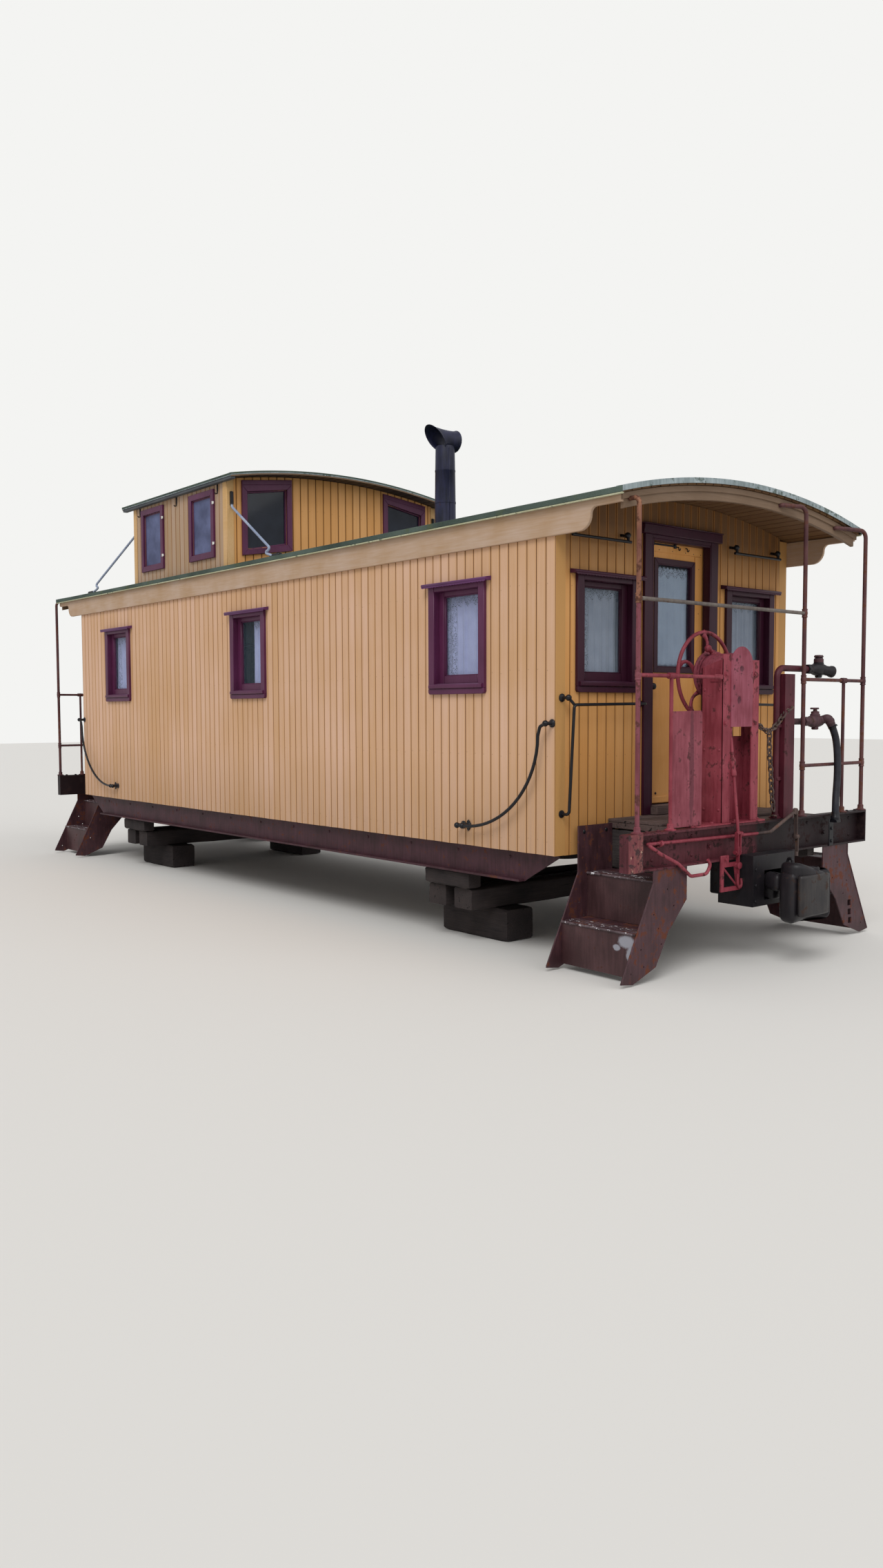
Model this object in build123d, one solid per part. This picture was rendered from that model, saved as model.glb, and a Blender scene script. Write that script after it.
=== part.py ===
"""A wooden railway caboose that has lost its trucks and stands on timber cribbing.

Millimetres. +X runs along the car towards the end with the complete air gear, -Y is the
side with three windows seen first, +Z is up. The origin is on the ground under the
middle of the car. The two ends are the same assembly turned half a turn about Z, so most
end pieces are modelled at the +X end, with their distance from the end wall called s.
"""
from build123d import *
import math
import os

os.makedirs("parts", exist_ok=True)

# Body shell
body_length = 8280
body_width = 2800
siding_bottom = 800
wall_thickness = 100
floor_top = 1100
floor_thickness = 70
letterboard_bottom = 3050
letterboard_thickness = 25

# Main roof: an arc over the width, carried past both end walls
eave_height = 3290
roof_rise = 185
roof_side_overhang = 60
roof_overhang = 660
roof_thickness = 45
arch_depth = 100
arch_thickness = 28

# Letterboard ends: two arcs that cut the board up to a shallow tail
tail_start = 245
tail_length = 620
tail_arc_low = 103
tail_arc_high = 45

# Cupola
cupola_front = -515
cupola_length = 2140
cupola_inset = 40
cupola_wall = 60
cupola_eave_height = 4200
cupola_rise = 140
cupola_roof_side_overhang = 60
cupola_roof_overhang = 190
cupola_roof_thickness = 35

# Body windows, all alike
window_opening_width = 520
window_opening_height = 715
window_sill_height = 2050
window_casing = 70
window_liner = 20
window_apron = 85
window_head = 40
sill_projection = 15
sill_height = 43
sash_stile = 70
sash_top_rail = 45
sash_bottom_rail = 67
sash_thickness = 40
sash_recess = 30
glass_thickness = 4
casing_thickness = 25
hood_height = 25
hood_projection = 60
hood_overhang = 52
curtain_place = 84
curtain_drop = 22
curtain_rod_radius = 5
curtain_thickness = 16
curtain_gap = 8
side_window_places = (3090, -60, -3070)
end_window_gap = 122.5

# Cupola windows
cupola_window_places = (-1029, -2170)
cupola_window_width = 540
cupola_window_bottom = 3418
cupola_window_top = 4110
cupola_end_window_inner = 600
cupola_end_window_outer = 1195
cupola_end_window_low = 75
cupola_end_window_high = 110
cupola_casing = 60
cupola_glass_recess = 18

# Cupola handrails: strap heights, then how far each bend lies beyond the front wall
handrail_inset = 46
handrail_foot = 20
handrail_strap = (3911, 4055)
handrail_reach = (965, 850, 1025)
rail_bar_radius = 11

# Smokejack
smokejack_place = (1640, -300)
smokejack_radius = 92
smokejack_top = 4450
smokejack_wall = 6
smokejack_cap_radius = 98
smokejack_cap_reach = (165, 130)

# End doors: hinged on the inner face, opening inwards
door_centre = -27.5
door_width = 700
door_gap = 7.5
door_bottom = 1113
door_height = 2009
door_thickness = 45
door_casing = 88
door_head_rail = 26
door_head_board = 74
door_head_overhang = 30
door_stop_width = 15
door_glass_width = 405
door_glass_height = 787
door_glass_bottom = 2170
door_glass_border = 45
door_border_depth = 8
door_curtain_thickness = 12
threshold_nosing = 60
hinge_radius = 8
hinge_height = 90
hinge_flap = 55
hinge_places = (1300, 2100, 2900)
knob_height = 2018
knob_inset = 60
knob_radius = 26
knob_neck = 14

# Platforms and end sills
platform_depth = 740
end_sill_overhang = 65
end_sill_height = 255
end_sill_top = 1015
end_sill_flange = 82
end_sill_web = 12
sill_flange_thickness = 14
end_block_width = 140
step_well_width = 550
deck_thickness = 45
deck_board_thickness = 25
deck_board_reach = 505
side_timber_width = 100
side_timber_height = 300

# Steps: side plates with two treads
step_inner_place = 40
step_outer_place = 735
step_plate_thickness = 10
step_riser_thickness = 8
step_treads = (  # height of the tread, then its nosing and its back, both beyond the deck's side
    (675, 280, 0),
    (350, 540, 250),
)
step_riser_foot = 40
step_nosing = 15
step_plate_outline = (  # distance beyond the deck's side, height
    (355, 1010), (355, 675), (680, 30), (560, 14), (325, 100), (195, 325), (0, 530), (0, 1010),
)

# Pipe railings
pipe_radius = 16
rail_radius = 13
post_place = 705
corner_post_inset = 120
right_post_inset = 25
middle_post_offset = 585
upper_bar_height = 2570
rail_height = 2067
low_rail_height = 1405
left_baluster_inset = 345
right_baluster_inset = 290
guard_panel_edge = 660
guard_panel_top = 1835

# Hand brake stand
stand_left = -430
stand_right = 0
stand_back = 520
stand_front = 710
stand_flange = 90
stand_web = 10
stand_heights = (2230, 2198)
cover_bottom = 1714
cover_top = 2290
base_plate_thickness = 12
base_plates = ((-770, -330), (-276, 86))
back_plate_top = 1635
cover_thickness = 8
cover_lap = 4
housing_back = 450
housing_radius = 115
brake_wheel_radius = 330
brake_wheel_place = 385
brake_wheel_height = 2094
brake_wheel_rim = 13
brake_wheel_hub = 45

# Gangway post and air gear
gangway_post_edges = (335, 463)
gangway_post_depth = 75
gangway_post_web = 9
gangway_post_top = 2105
air_pipe_place = 660
riser_offset = 300
riser_radius = 24
cock_height = 1745
hose_radius = 28
hose_route = (  # distance beyond the end wall, Y, height
    (735, 945, 1716), (738, 1000, 1647), (743, 1030, 1543), (750, 1033, 1410),
    (757, 1017, 1279), (765, 980, 1160), (780, 940, 1062), (780, 940, 975),
)

# Grab irons
side_bar_stand_off = 70
side_bar_radius = 12
bracket_inset = 28
side_bar_run = (  # from the bracket at the corner along X, height
    (0, 1745), (-75, 1725), (-92, 1540), (-180, 1290), (-330, 1145), (-510, 1037), (-740, 973), (-955, 957),
)
end_bar_stand_off = 75
end_bar_spans = ((-1, 120, 560, 3062), (1, 230, 570, 3090))  # side, inset from the corner, length, height
low_bar_height = 1885
low_bar_gap = 27
low_bar_insets = (115, 65)

# Underframe
side_sill_inset = 75
side_sill_web = 12
side_sill_flange = 55
side_sill_flange_thickness = 16
side_sill_bottom = 575
side_sill_end = 30
side_sill_taper = 360
centre_sill_offset = 165
centre_sill_flange = 90
centre_sill_web = 12
sill_cover = 12
centre_sill_bottom = 720
bolster_place = 2870
bolster_length = 300
bolster_bottom = 600
centre_plate_radius = 150
centre_plate_height = 40
centre_pin_radius = 32
cross_bearer_places = (-1400, 0, 1400)
cross_bearer_length = 160
tank_places = ((-700, -700, 130, 560), (700, 650, 170, 900))

# Draw gear
lever_rise = 177
coupler_height = 525
striker_half_width = 260
striker_bottom = 420
striker_top = 790
striker_front = 860
striker_back = 560
striker_wall = 30
striker_jamb = 140
striker_head = 115
shank_size = 130
head_back = 868
knuckle_height = 280
head_height = 400
draft_block_length = 160
head_outline = (  # distance beyond the end wall, Y
    (head_back, -120), (920, -195), (1040, -195), (1060, -70), (1060, 60), (1180, 150),
    (1205, 205), (1150, 235), (1000, 195), (head_back, 120),
)
lug_outline = ((1030, -195), (1130, -190), (1140, -95), (1060, -60), (1030, -60))
knuckle_outline = (
    (1046, -190), (1130, -194), (1195, -175), (1215, -130), (1210, 10),
    (1170, 55), (1140, 20), (1120, -50), (1066, -72),
)

# Timber cribbing
tie_width = 229
tie_height = 178
tie_end_inset = 100
tie_spacing = 310
base_timber_height = 262
base_timber_width = 300
base_timber_offset = 900
base_timber_overlap = 120
crib_shift = 3
packing_width = 140
packing_inset = 50

half_length = body_length / 2
half_width = body_width / 2
inner_width = half_width - wall_thickness
roof_half_width = half_width + roof_side_overhang
cupola_half_width = half_width - cupola_inset
cupola_roof_half_width = cupola_half_width + cupola_roof_side_overhang
deck_half_width = half_width - step_well_width
end_sill_half = half_width + end_sill_overhang
side_sill_face = half_width - side_sill_inset
floor_bottom = floor_top - floor_thickness
roof_radius = (roof_half_width ** 2 + roof_rise ** 2) / (2 * roof_rise)
roof_axis = eave_height + roof_rise - roof_radius
cupola_radius = (cupola_roof_half_width ** 2 + cupola_rise ** 2) / (2 * cupola_rise)
cupola_axis = cupola_eave_height + cupola_rise - cupola_radius
cupola_back = cupola_front - cupola_length
window_top = window_sill_height + window_opening_height
door_low = door_centre - door_width / 2
door_high = door_centre + door_width / 2
frame_low = door_low - door_gap
frame_high = door_high + door_gap
frame_top = door_bottom + door_height + door_gap
door_face = wall_thickness - door_thickness
end_window_offset = frame_high + door_casing + end_window_gap + window_opening_width / 2 + window_casing
deck_top = end_sill_top + deck_board_thickness
end_sill_bottom = end_sill_top - end_sill_height
sill_back = platform_depth - end_sill_flange
deck_bottom = end_sill_top - deck_thickness
centre_sill_half = centre_sill_offset + centre_sill_flange
left_post = -(end_sill_half - corner_post_inset)
right_post = end_sill_half - right_post_inset
left_baluster = left_post + left_baluster_inset
right_baluster = right_post - right_baluster_inset
crib_top = base_timber_height + tie_height


def block(x0, x1, y0, y1, z0, z1):
    """A box between two corners."""
    return Pos((x0 + x1) / 2, (y0 + y1) / 2, (z0 + z1) / 2) * Box(abs(x1 - x0), abs(y1 - y0), abs(z1 - z0))


def end_block(s0, s1, y0, y1, z0, z1):
    """A box at the +X end, from s0 to s1 beyond the end wall."""
    return block(half_length + s0, half_length + s1, y0, y1, z0, z1)


def cross_section(sketch, x0, x1):
    """A section drawn in Y and Z, carried from x0 to x1."""
    return extrude(Plane.YZ.offset(x0) * sketch, amount=x1 - x0)


def band(y0, y1, z0, z1):
    """A rectangle in a cross section."""
    return Pos((y0 + y1) / 2, (z0 + z1) / 2) * Rectangle(y1 - y0, z1 - z0)


def roof_disc(inset=0):
    return Pos(0, roof_axis) * Circle(roof_radius - inset)


def cupola_disc(inset=0):
    return Pos(0, cupola_axis) * Circle(cupola_radius - inset)


def roof_height(y):
    """Height of the main roof's top surface."""
    return roof_axis + math.sqrt(roof_radius ** 2 - y ** 2)


def cupola_roof_height(y):
    return cupola_axis + math.sqrt(cupola_radius ** 2 - y ** 2)


def rod(points, radius, bends=20):
    """A round bar or pipe along straight runs with rounded corners."""
    path = Line(*points) if len(points) == 2 else FilletPolyline(*points, radius=bends)
    return sweep(Plane(path @ 0, z_dir=path % 0) * Circle(radius), path=path)


def outline_plate(points, plane, thickness):
    return extrude(plane * make_face(Polyline(*points, close=True)), amount=thickness)


def end_plate(points, s0, s1):
    """A flat piece drawn in Y and Z, from s0 to s1 beyond the end wall."""
    return outline_plate(points, Plane.YZ.offset(half_length + s0), s1 - s0)


def joined(pieces):
    whole = pieces[0]
    for piece in pieces[1:]:
        whole += piece
    return whole


def turned(shape):
    return Rot(0, 0, 180) * shape


def both_ends(*shapes):
    return [placed for shape in shapes for placed in (shape, turned(shape))]


def both_sides(shape):
    return [shape, mirror(shape, Plane.XZ)]


def write(name, shapes):
    solids = [solid for shape in shapes for solid in shape.solids()]
    export_step(solids[0] if len(solids) == 1 else Compound(solids), f"parts/{name}.step")


def window_hole():
    """The hole that a window unit fills, its wall along X and its outer face at Y = 0."""
    half = window_opening_width / 2 + window_liner
    return block(-half, half, 0, wall_thickness, window_sill_height - window_liner, window_top + window_liner)


def window_unit():
    """Liner, casing, hood, sill, sash and curtain rod as one joinery piece, its outside towards -Y."""
    half = window_opening_width / 2
    outer = half + window_casing
    head = window_top + window_head
    opening = block(-half, half, -casing_thickness, wall_thickness, window_sill_height, window_top)
    liner = window_hole() + block(-outer, outer, -casing_thickness, 0, window_sill_height - window_apron, head)
    liner -= opening
    hood = block(-outer - hood_overhang, outer + hood_overhang, -hood_projection, 0, head, head + hood_height)
    sill = block(-outer, outer, -casing_thickness - sill_projection, -casing_thickness,
                 window_sill_height - sill_height, window_sill_height)
    sash = block(-half, half, sash_recess, sash_recess + sash_thickness, window_sill_height, window_top)
    sash -= block(-half + sash_stile, half - sash_stile, 0, wall_thickness,
                  window_sill_height + sash_bottom_rail, window_top - sash_top_rail)
    curtain_bar = rod([(-half, curtain_place, window_top - curtain_drop),
                       (half, curtain_place, window_top - curtain_drop)], curtain_rod_radius)
    return liner + hood + sill + sash + curtain_bar


def window_pane():
    half = window_opening_width / 2 - sash_stile
    middle = sash_recess + sash_thickness / 2
    return block(-half, half, middle, middle + glass_thickness,
                 window_sill_height + sash_bottom_rail, window_top - sash_top_rail)


def window_curtain():
    half = window_opening_width / 2 - curtain_gap
    return block(-half, half, curtain_place - curtain_thickness / 2, curtain_place + curtain_thickness / 2,
                 window_sill_height + curtain_gap, window_top - curtain_drop - curtain_rod_radius)


def body_windows(piece):
    """One window piece set in each of the ten body window places."""
    on_sides = [Pos(place, -half_width, 0) * piece for place in side_window_places]
    on_ends = [Pos(half_length, side * end_window_offset, 0) * Rot(0, 0, 90) * piece for side in (-1, 1)]
    return both_ends(*on_sides, *on_ends)


def side_wall():
    """The wall on the -Y side."""
    section = band(-half_width, -inner_width, siding_bottom, eave_height + roof_rise) & roof_disc(roof_thickness)
    wall = cross_section(section, -half_length, half_length)
    for hole in body_windows(window_hole()):
        wall -= hole
    return wall


def end_wall():
    """The +X end wall, cut for the windows, the doorway and the centre sill."""
    section = band(-inner_width, inner_width, siding_bottom, eave_height + roof_rise) & roof_disc(roof_thickness)
    wall = cross_section(section, half_length - wall_thickness, half_length)
    for hole in body_windows(window_hole()):
        wall -= hole
    wall -= end_block(-wall_thickness, 0, frame_low, frame_high, floor_top, frame_top)
    return wall - end_block(-wall_thickness, 0, -centre_sill_half, centre_sill_half,
                            siding_bottom, deck_bottom + sill_cover)


def main_roof():
    section = (roof_disc() - roof_disc(roof_thickness)) & band(-roof_half_width, roof_half_width, 0, 2 * roof_radius)
    reach = half_length + roof_overhang
    opening = cupola_half_width - cupola_wall
    return cross_section(section, -reach, reach) - block(
        cupola_back + cupola_wall, cupola_front - cupola_wall, -opening, opening, eave_height - 200, 2 * eave_height)


def arch_board():
    """The curved board under the roof's end."""
    section = (roof_disc(roof_thickness) - roof_disc(roof_thickness + arch_depth)) & band(
        -half_width, half_width, 0, 2 * roof_radius)
    front = half_length + tail_length
    return cross_section(section, front - arch_thickness, front)


def letterboard():
    """The long board under the eave, cut up at both ends by an S of two arcs."""
    start = half_length + tail_start
    knee, bend = start + tail_arc_low, letterboard_bottom + tail_arc_low
    crown, high = knee + tail_arc_high, bend + tail_arc_high
    tip, over = half_length + tail_length, eave_height + 100
    half = make_face(Wire([
        Line((0, letterboard_bottom), (start, letterboard_bottom)),
        CenterArc((start, bend), tail_arc_low, -90, 90),
        CenterArc((crown, bend), tail_arc_high, 180, -90),
        Line((crown, high), (tip, high)),
        Line((tip, high), (tip, over)),
        Line((tip, over), (0, over)),
        Line((0, over), (0, letterboard_bottom)),
    ]))
    board = extrude(Plane.XZ.offset(half_width) * half, amount=letterboard_thickness)
    board += mirror(board, Plane.YZ)
    return board & cross_section(roof_disc(roof_thickness), -tip, tip)


def cupola_end_window(side, inset, x0, x1):
    """A four-sided piece whose foot follows the main roof and whose head follows the cupola's."""
    inner, outer = cupola_end_window_inner + inset, cupola_end_window_outer - inset
    low, high = cupola_end_window_low + inset, cupola_end_window_high + inset
    corners = [(side * inner, roof_height(inner) + low), (side * outer, roof_height(outer) + low),
               (side * outer, cupola_roof_height(outer) - high), (side * inner, cupola_roof_height(inner) - high)]
    return outline_plate(corners, Plane.YZ.offset(x0), x1 - x0)


def cupola_side_window(place, inset, y0, y1):
    half = cupola_window_width / 2 - inset
    return block(place - half, place + half, y0, y1, cupola_window_bottom + inset, cupola_window_top - inset)


def cupola_section(y0, y1):
    """The part of a strip between the main roof and the cupola's roof."""
    return (band(y0, y1, eave_height - 100, cupola_eave_height + cupola_rise)
            & cupola_disc(cupola_roof_thickness)) - roof_disc()


def cupola_side_wall():
    """The cupola wall on the -Y side."""
    y0, y1 = -cupola_half_width, -cupola_half_width + cupola_wall
    wall = cross_section(cupola_section(y0, y1), cupola_back, cupola_front)
    for place in cupola_window_places:
        wall -= cupola_side_window(place, cupola_casing, y0, y1)
    return wall


def cupola_end_wall(x0, x1):
    inner = cupola_half_width - cupola_wall
    wall = cross_section(cupola_section(-inner, inner), x0, x1)
    for side in (-1, 1):
        wall -= cupola_end_window(side, cupola_casing, x0, x1)
    return wall


def cupola_windows(depth0, depth1, framed):
    """A layer of every cupola window between two depths from the wall's outer face."""
    layers = []
    inset = 0 if framed else cupola_casing
    for side in (-1, 1):
        y0, y1 = sorted(side * (cupola_half_width - depth) for depth in (depth0, depth1))
        for place in cupola_window_places:
            layer = cupola_side_window(place, inset, y0, y1)
            layers.append(layer - cupola_side_window(place, cupola_casing, y0, y1) if framed else layer)
        for face, outward in ((cupola_front, 1), (cupola_back, -1)):
            x0, x1 = sorted(face - outward * depth for depth in (depth0, depth1))
            layer = cupola_end_window(side, inset, x0, x1)
            layers.append(layer - cupola_end_window(side, cupola_casing, x0, x1) if framed else layer)
    return layers


def cupola_roof():
    section = (cupola_disc() - cupola_disc(cupola_roof_thickness)) & band(
        -cupola_roof_half_width, cupola_roof_half_width, 0, 2 * cupola_radius)
    return cross_section(section, cupola_back - cupola_roof_overhang, cupola_front + cupola_roof_overhang)


def cupola_handrail():
    """A bar from a strap on the cupola's front wall down to a foot on the main roof's edge."""
    x, y = cupola_front, -cupola_half_width + handrail_inset
    foot_y = -roof_half_width + handrail_foot
    strap = block(x, x + 8, y - 14, y + 14, handrail_strap[0], handrail_strap[1])
    elbow, back, foot = (x + reach for reach in handrail_reach)
    bar = rod([(x + 16, y, handrail_strap[1] - 15), (x + 16, y, handrail_strap[0] - 10),
               (elbow, foot_y, eave_height + 65), (back, foot_y, eave_height + 65), (foot, foot_y, eave_height - 28)],
              rail_bar_radius, 12)
    return strap + bar - cross_section(roof_disc(), x, x + 2 * abs(handrail_reach[0]))


def smokejack():
    """A flue through the roof, under a short crosswise tube whose -Y mouth is cut aslant."""
    x, y = smokejack_place
    foot, middle = eave_height, smokejack_top - smokejack_cap_radius
    long, short = smokejack_cap_reach
    flue = Pos(x, y, (foot + middle) / 2) * Cylinder(smokejack_radius, middle - foot)
    flue += Pos(x, y, roof_height(y) + 20) * Cylinder(smokejack_radius + 45, 70)
    across = Pos(x, y + (short - long) / 2, middle) * Rot(90, 0, 0)
    flue += across * Cylinder(smokejack_cap_radius, long + short)
    flue -= across * Cylinder(smokejack_cap_radius - smokejack_wall, long + short)
    flue -= Pos(x, y, (foot + middle) / 2) * Cylinder(smokejack_radius - smokejack_wall, middle - foot)
    slant = Pos(x, y - long, middle - smokejack_cap_radius) * Rot(35, 0, 0) * Box(300, 90, 240)
    return flue - slant - cross_section(roof_disc(), x - 200, x + 200)


hinge_x = half_length - wall_thickness - hinge_radius - 1
hinge_y = (door_high + frame_high) / 2


def hinges(side, low, high):
    """Knuckles and flaps of the three hinges: side -1 on the door, +1 on the wall."""
    halves = []
    for place in hinge_places:
        z0, z1 = place + low + 0.5, place + high - 0.5
        knuckle = Pos(hinge_x, hinge_y, (z0 + z1) / 2) * Cylinder(hinge_radius, z1 - z0)
        halves.append(knuckle + block(hinge_x + 4, half_length - wall_thickness, hinge_y + side * 2,
                                      hinge_y + side * hinge_flap, z0, z1))
    return halves


def door_window(border, s0, s1):
    half = door_glass_width / 2 + border
    return end_block(s0, s1, door_centre - half, door_centre + half,
                     door_glass_bottom - border, door_glass_bottom + door_glass_height + border)


def door_leaf():
    leaf = end_block(-wall_thickness, -door_face, door_low, door_high, door_bottom, door_bottom + door_height)
    leaf += door_window(door_glass_border, -door_face, -door_face + door_border_depth)
    leaf -= door_window(0, -wall_thickness, 0)
    return joined([leaf] + hinges(-1, 0, hinge_height / 2))


def door_pane():
    middle = -(door_face + door_thickness / 2)
    return door_window(0, middle - glass_thickness, middle)


def door_curtain():
    middle = -(door_face + door_thickness / 2) - glass_thickness - 1
    return door_window(0, middle - door_curtain_thickness, middle)


def door_knobs():
    """A knob on each face of the leaf: rose, neck and ball."""
    place = Pos(0, door_low + knob_inset, knob_height)
    neck = knob_radius + knob_neck
    knob = place * Rot(0, 90, 0) * Pos(0, 0, 2) * Cylinder(28, 4)
    knob += place * Rot(0, 90, 0) * Pos(0, 0, neck / 2) * Cylinder(10, neck)
    knob += place * Pos(neck, 0, 0) * Sphere(knob_radius)
    other = mirror(knob, Plane.YZ)
    return [Pos(half_length - door_face, 0, 0) * knob, Pos(half_length - wall_thickness, 0, 0) * other]


def door_frame():
    """Casing boards, head board, stops and threshold around the doorway."""
    outer_low, outer_high = frame_low - door_casing, frame_high + door_casing
    top = frame_top + door_head_rail
    casing = end_block(0, casing_thickness, outer_low, outer_high, deck_top, top)
    casing += end_block(0, casing_thickness + 20, outer_low - door_head_overhang, outer_high + door_head_overhang,
                        top, top + door_head_board)
    casing -= end_block(0, casing_thickness, frame_low, frame_high, deck_top, frame_top)
    stops = end_block(-door_face + door_gap, casing_thickness, frame_low, frame_high, floor_top, frame_top)
    stops -= end_block(-wall_thickness, casing_thickness, frame_low + door_stop_width, frame_high - door_stop_width,
                       floor_top, frame_top - door_stop_width)
    sill = end_block(-wall_thickness, casing_thickness + threshold_nosing, frame_low, frame_high,
                     floor_top, door_bottom - door_gap)
    step = end_block(0, casing_thickness + threshold_nosing, frame_low, frame_high, deck_top, floor_top)
    return casing + stops + sill + step


def end_sill():
    """A channel with its flanges outwards, one end closed by a block and the other by a plate."""
    half = end_sill_half
    beam = end_block(sill_back, platform_depth, -half, half, end_sill_bottom, end_sill_top)
    return beam - end_block(sill_back + end_sill_web, platform_depth, -half + end_block_width, half - end_sill_web,
                            end_sill_bottom + sill_flange_thickness, end_sill_top - sill_flange_thickness)


def deck():
    timbers = end_block(0, sill_back, -deck_half_width, deck_half_width, deck_bottom, end_sill_top)
    timbers += end_block(0, deck_board_reach, -deck_half_width, deck_half_width, end_sill_top, deck_top)
    for side in (-1, 1):
        timbers += end_block(0, sill_back, side * (deck_half_width - side_timber_width), side * deck_half_width,
                             deck_bottom - side_timber_height, deck_bottom)
    return timbers


def steps(side):
    """Two side plates with two treads and their risers, hung in the well beside the deck."""
    outline = [(side * (deck_half_width + y), z) for y, z in step_plate_outline]
    outer = [(y, min(z, end_sill_bottom)) for y, z in outline]
    first, last = step_inner_place, step_outer_place
    flight = end_plate(outline, first, first + step_plate_thickness)
    flight += end_plate(outer, last - step_plate_thickness, last)
    feet = [tread[0] for tread in step_treads[1:]] + [step_riser_foot]
    for (height, nosing, back), foot in zip(step_treads, feet):
        back, nosing = deck_half_width + back, deck_half_width + nosing
        face = nosing - step_nosing
        flight += end_block(first, last, side * back, side * nosing, height - step_riser_thickness, height)
        flight += end_block(first, last, side * (face - step_riser_thickness), side * face, foot, height)
    return flight


def railing():
    """Corner posts, the gangway's middle post and their bars, all of pipe."""
    x, tip = half_length + post_place, half_length + tail_length
    left, right, middle = left_post, right_post, middle_post_offset
    foot = end_sill_top
    hook, far_hook = middle - 225, right - 330
    left_top, middle_top, right_top = (
        roof_height(y) - roof_thickness - arch_depth / 2 for y in (left, hook, far_hook))
    pieces = [
        rod([(x, left, foot), (x, left, left_top), (tip, left, left_top)], pipe_radius, 30),
        rod([(x, middle, foot), (x, middle, middle_top), (tip + 25, hook, middle_top), (tip, hook, middle_top)],
            pipe_radius, (40, 12)),
        rod([(x, right, foot), (x, right, right_top), (tip + 25, far_hook, right_top), (tip, far_hook, right_top)],
            pipe_radius, (40, 12)),
        rod([(x, left, upper_bar_height), (x, middle, upper_bar_height)], rail_radius),
        rod([(x, left, rail_height), (x, stand_left, rail_height)], rail_radius),
        rod([(x, middle, rail_height), (x, right, rail_height)], rail_radius),
        rod([(x, middle, low_rail_height), (x, right, low_rail_height)], rail_radius),
        rod([(x, left_baluster, foot), (x, left_baluster, rail_height)], rail_radius),
        rod([(x, right_baluster, foot), (x, right_baluster, rail_height)], rail_radius),
    ]
    return joined(pieces) + end_block(post_place - 2, post_place + 2, left_baluster, -guard_panel_edge,
                                      foot + base_plate_thickness, guard_panel_top)


def stand_channel(web_face, inward, top):
    """One upright channel, its web at web_face and its flanges reaching inward."""
    foot = end_sill_top + base_plate_thickness
    channel = end_block(stand_back, stand_front, web_face, web_face + inward * stand_flange, foot, top)
    return channel - end_block(stand_back + stand_web, stand_front - stand_web, web_face + inward * stand_web,
                               web_face + inward * 2 * stand_flange, foot, top)


def brake_stand():
    """Two channels on base plates, with a round-headed cover, a low back plate and the gear housing."""
    low, high = stand_left + stand_flange, stand_right - stand_flange
    middle, crown = (low + high) / 2, (high - low) / 2 + cover_lap
    base = end_sill_top + base_plate_thickness
    stand = stand_channel(stand_left, 1, stand_heights[0]) + stand_channel(stand_right, -1, stand_heights[1])
    for y0, y1 in base_plates:
        stand += end_block(stand_back, platform_depth - 2, y0, y1, end_sill_top, base)
    stand += end_block(stand_back, stand_back + stand_web, low, high, base, back_plate_top)
    cover = end_block(stand_front, stand_front + cover_thickness, middle - crown, middle + crown,
                      cover_bottom, cover_top - crown)
    cover += Pos(half_length + stand_front + cover_thickness / 2, middle, cover_top - crown) \
        * Rot(0, 90, 0) * Cylinder(crown, cover_thickness)
    housing = Pos(half_length + (housing_back + stand_front) / 2, middle, brake_wheel_height) \
        * Rot(0, 90, 0) * Cylinder(housing_radius, stand_front - housing_back)
    return stand + cover + housing


def brake_wheel():
    """A spoked rim on a hub that reaches the gear housing, on the platform side of the stand."""
    middle = (stand_left + stand_right) / 2
    centre = Pos(half_length + brake_wheel_place, middle, brake_wheel_height) * Rot(0, 90, 0)
    hub_length = housing_back - brake_wheel_place
    wheel = centre * Torus(brake_wheel_radius - brake_wheel_rim, brake_wheel_rim)
    wheel += centre * Pos(0, 0, hub_length / 2) * Cylinder(brake_wheel_hub, hub_length)
    length = brake_wheel_radius - brake_wheel_rim
    for index in range(5):
        wheel += centre * Rot(0, 0, 72 * index) * Pos(-length / 2, 0, 6) * Box(length, 34, 12)
    return wheel


def gangway_post():
    y0, y1 = gangway_post_edges
    back = stand_front - gangway_post_depth
    post = end_block(back, stand_front, y0, y1, end_sill_top, gangway_post_top)
    return post - end_block(back, stand_front - gangway_post_web, y0 + gangway_post_web, y1 - gangway_post_web,
                            end_sill_top, gangway_post_top)


def air_pipes():
    """The riser over the gangway post with its cock, the lower cock that carries the hose, the hose's rest."""
    x = half_length + air_pipe_place
    high = gangway_post_top + riser_radius + 21
    riser = rod([(x, riser_offset, end_sill_top), (x, riser_offset, high), (x, 660, high)], riser_radius, 60)
    riser += Pos(x, 650, high) * Rot(90, 0, 0) * Cylinder(36, 80)
    riser += Pos(x, 780, high) * Rot(90, 0, 0) * Cylinder(46, 220)
    riser += rod([(x, 840, high), (x + 40, 965, high - 12)], 42)
    riser += Pos(x, 800, high + 70) * Cylinder(30, 90)
    riser += Pos(x, 800, high + 125) * Box(60, 90, 24)
    start, after = (Vector(half_length + s, y, z) for s, y, z in hose_route[:2])
    along = (after - start).normalized()
    cock = rod([(x, gangway_post_edges[1], cock_height), (x, 800, cock_height)], riser_radius)
    cock += Pos(x, 730, cock_height) * Rot(90, 0, 0) * Cylinder(42, 170)
    cock += rod([(x, 780, cock_height), (x + 20, 850, cock_height + 12), start - along * 60, start], 34, 25)
    cock += Pos(x, 740, cock_height + 62) * Cylinder(24, 60)
    end_s, end_y, end_z = hose_route[-1]
    rest = end_block(platform_depth, platform_depth + 10, end_y - 30, end_y + 30, end_sill_bottom, end_z)
    rest += end_block(platform_depth, end_s + hose_radius + 2, end_y - 30, end_y + 30, end_z - 25, end_z)
    return riser, cock, rest


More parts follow.
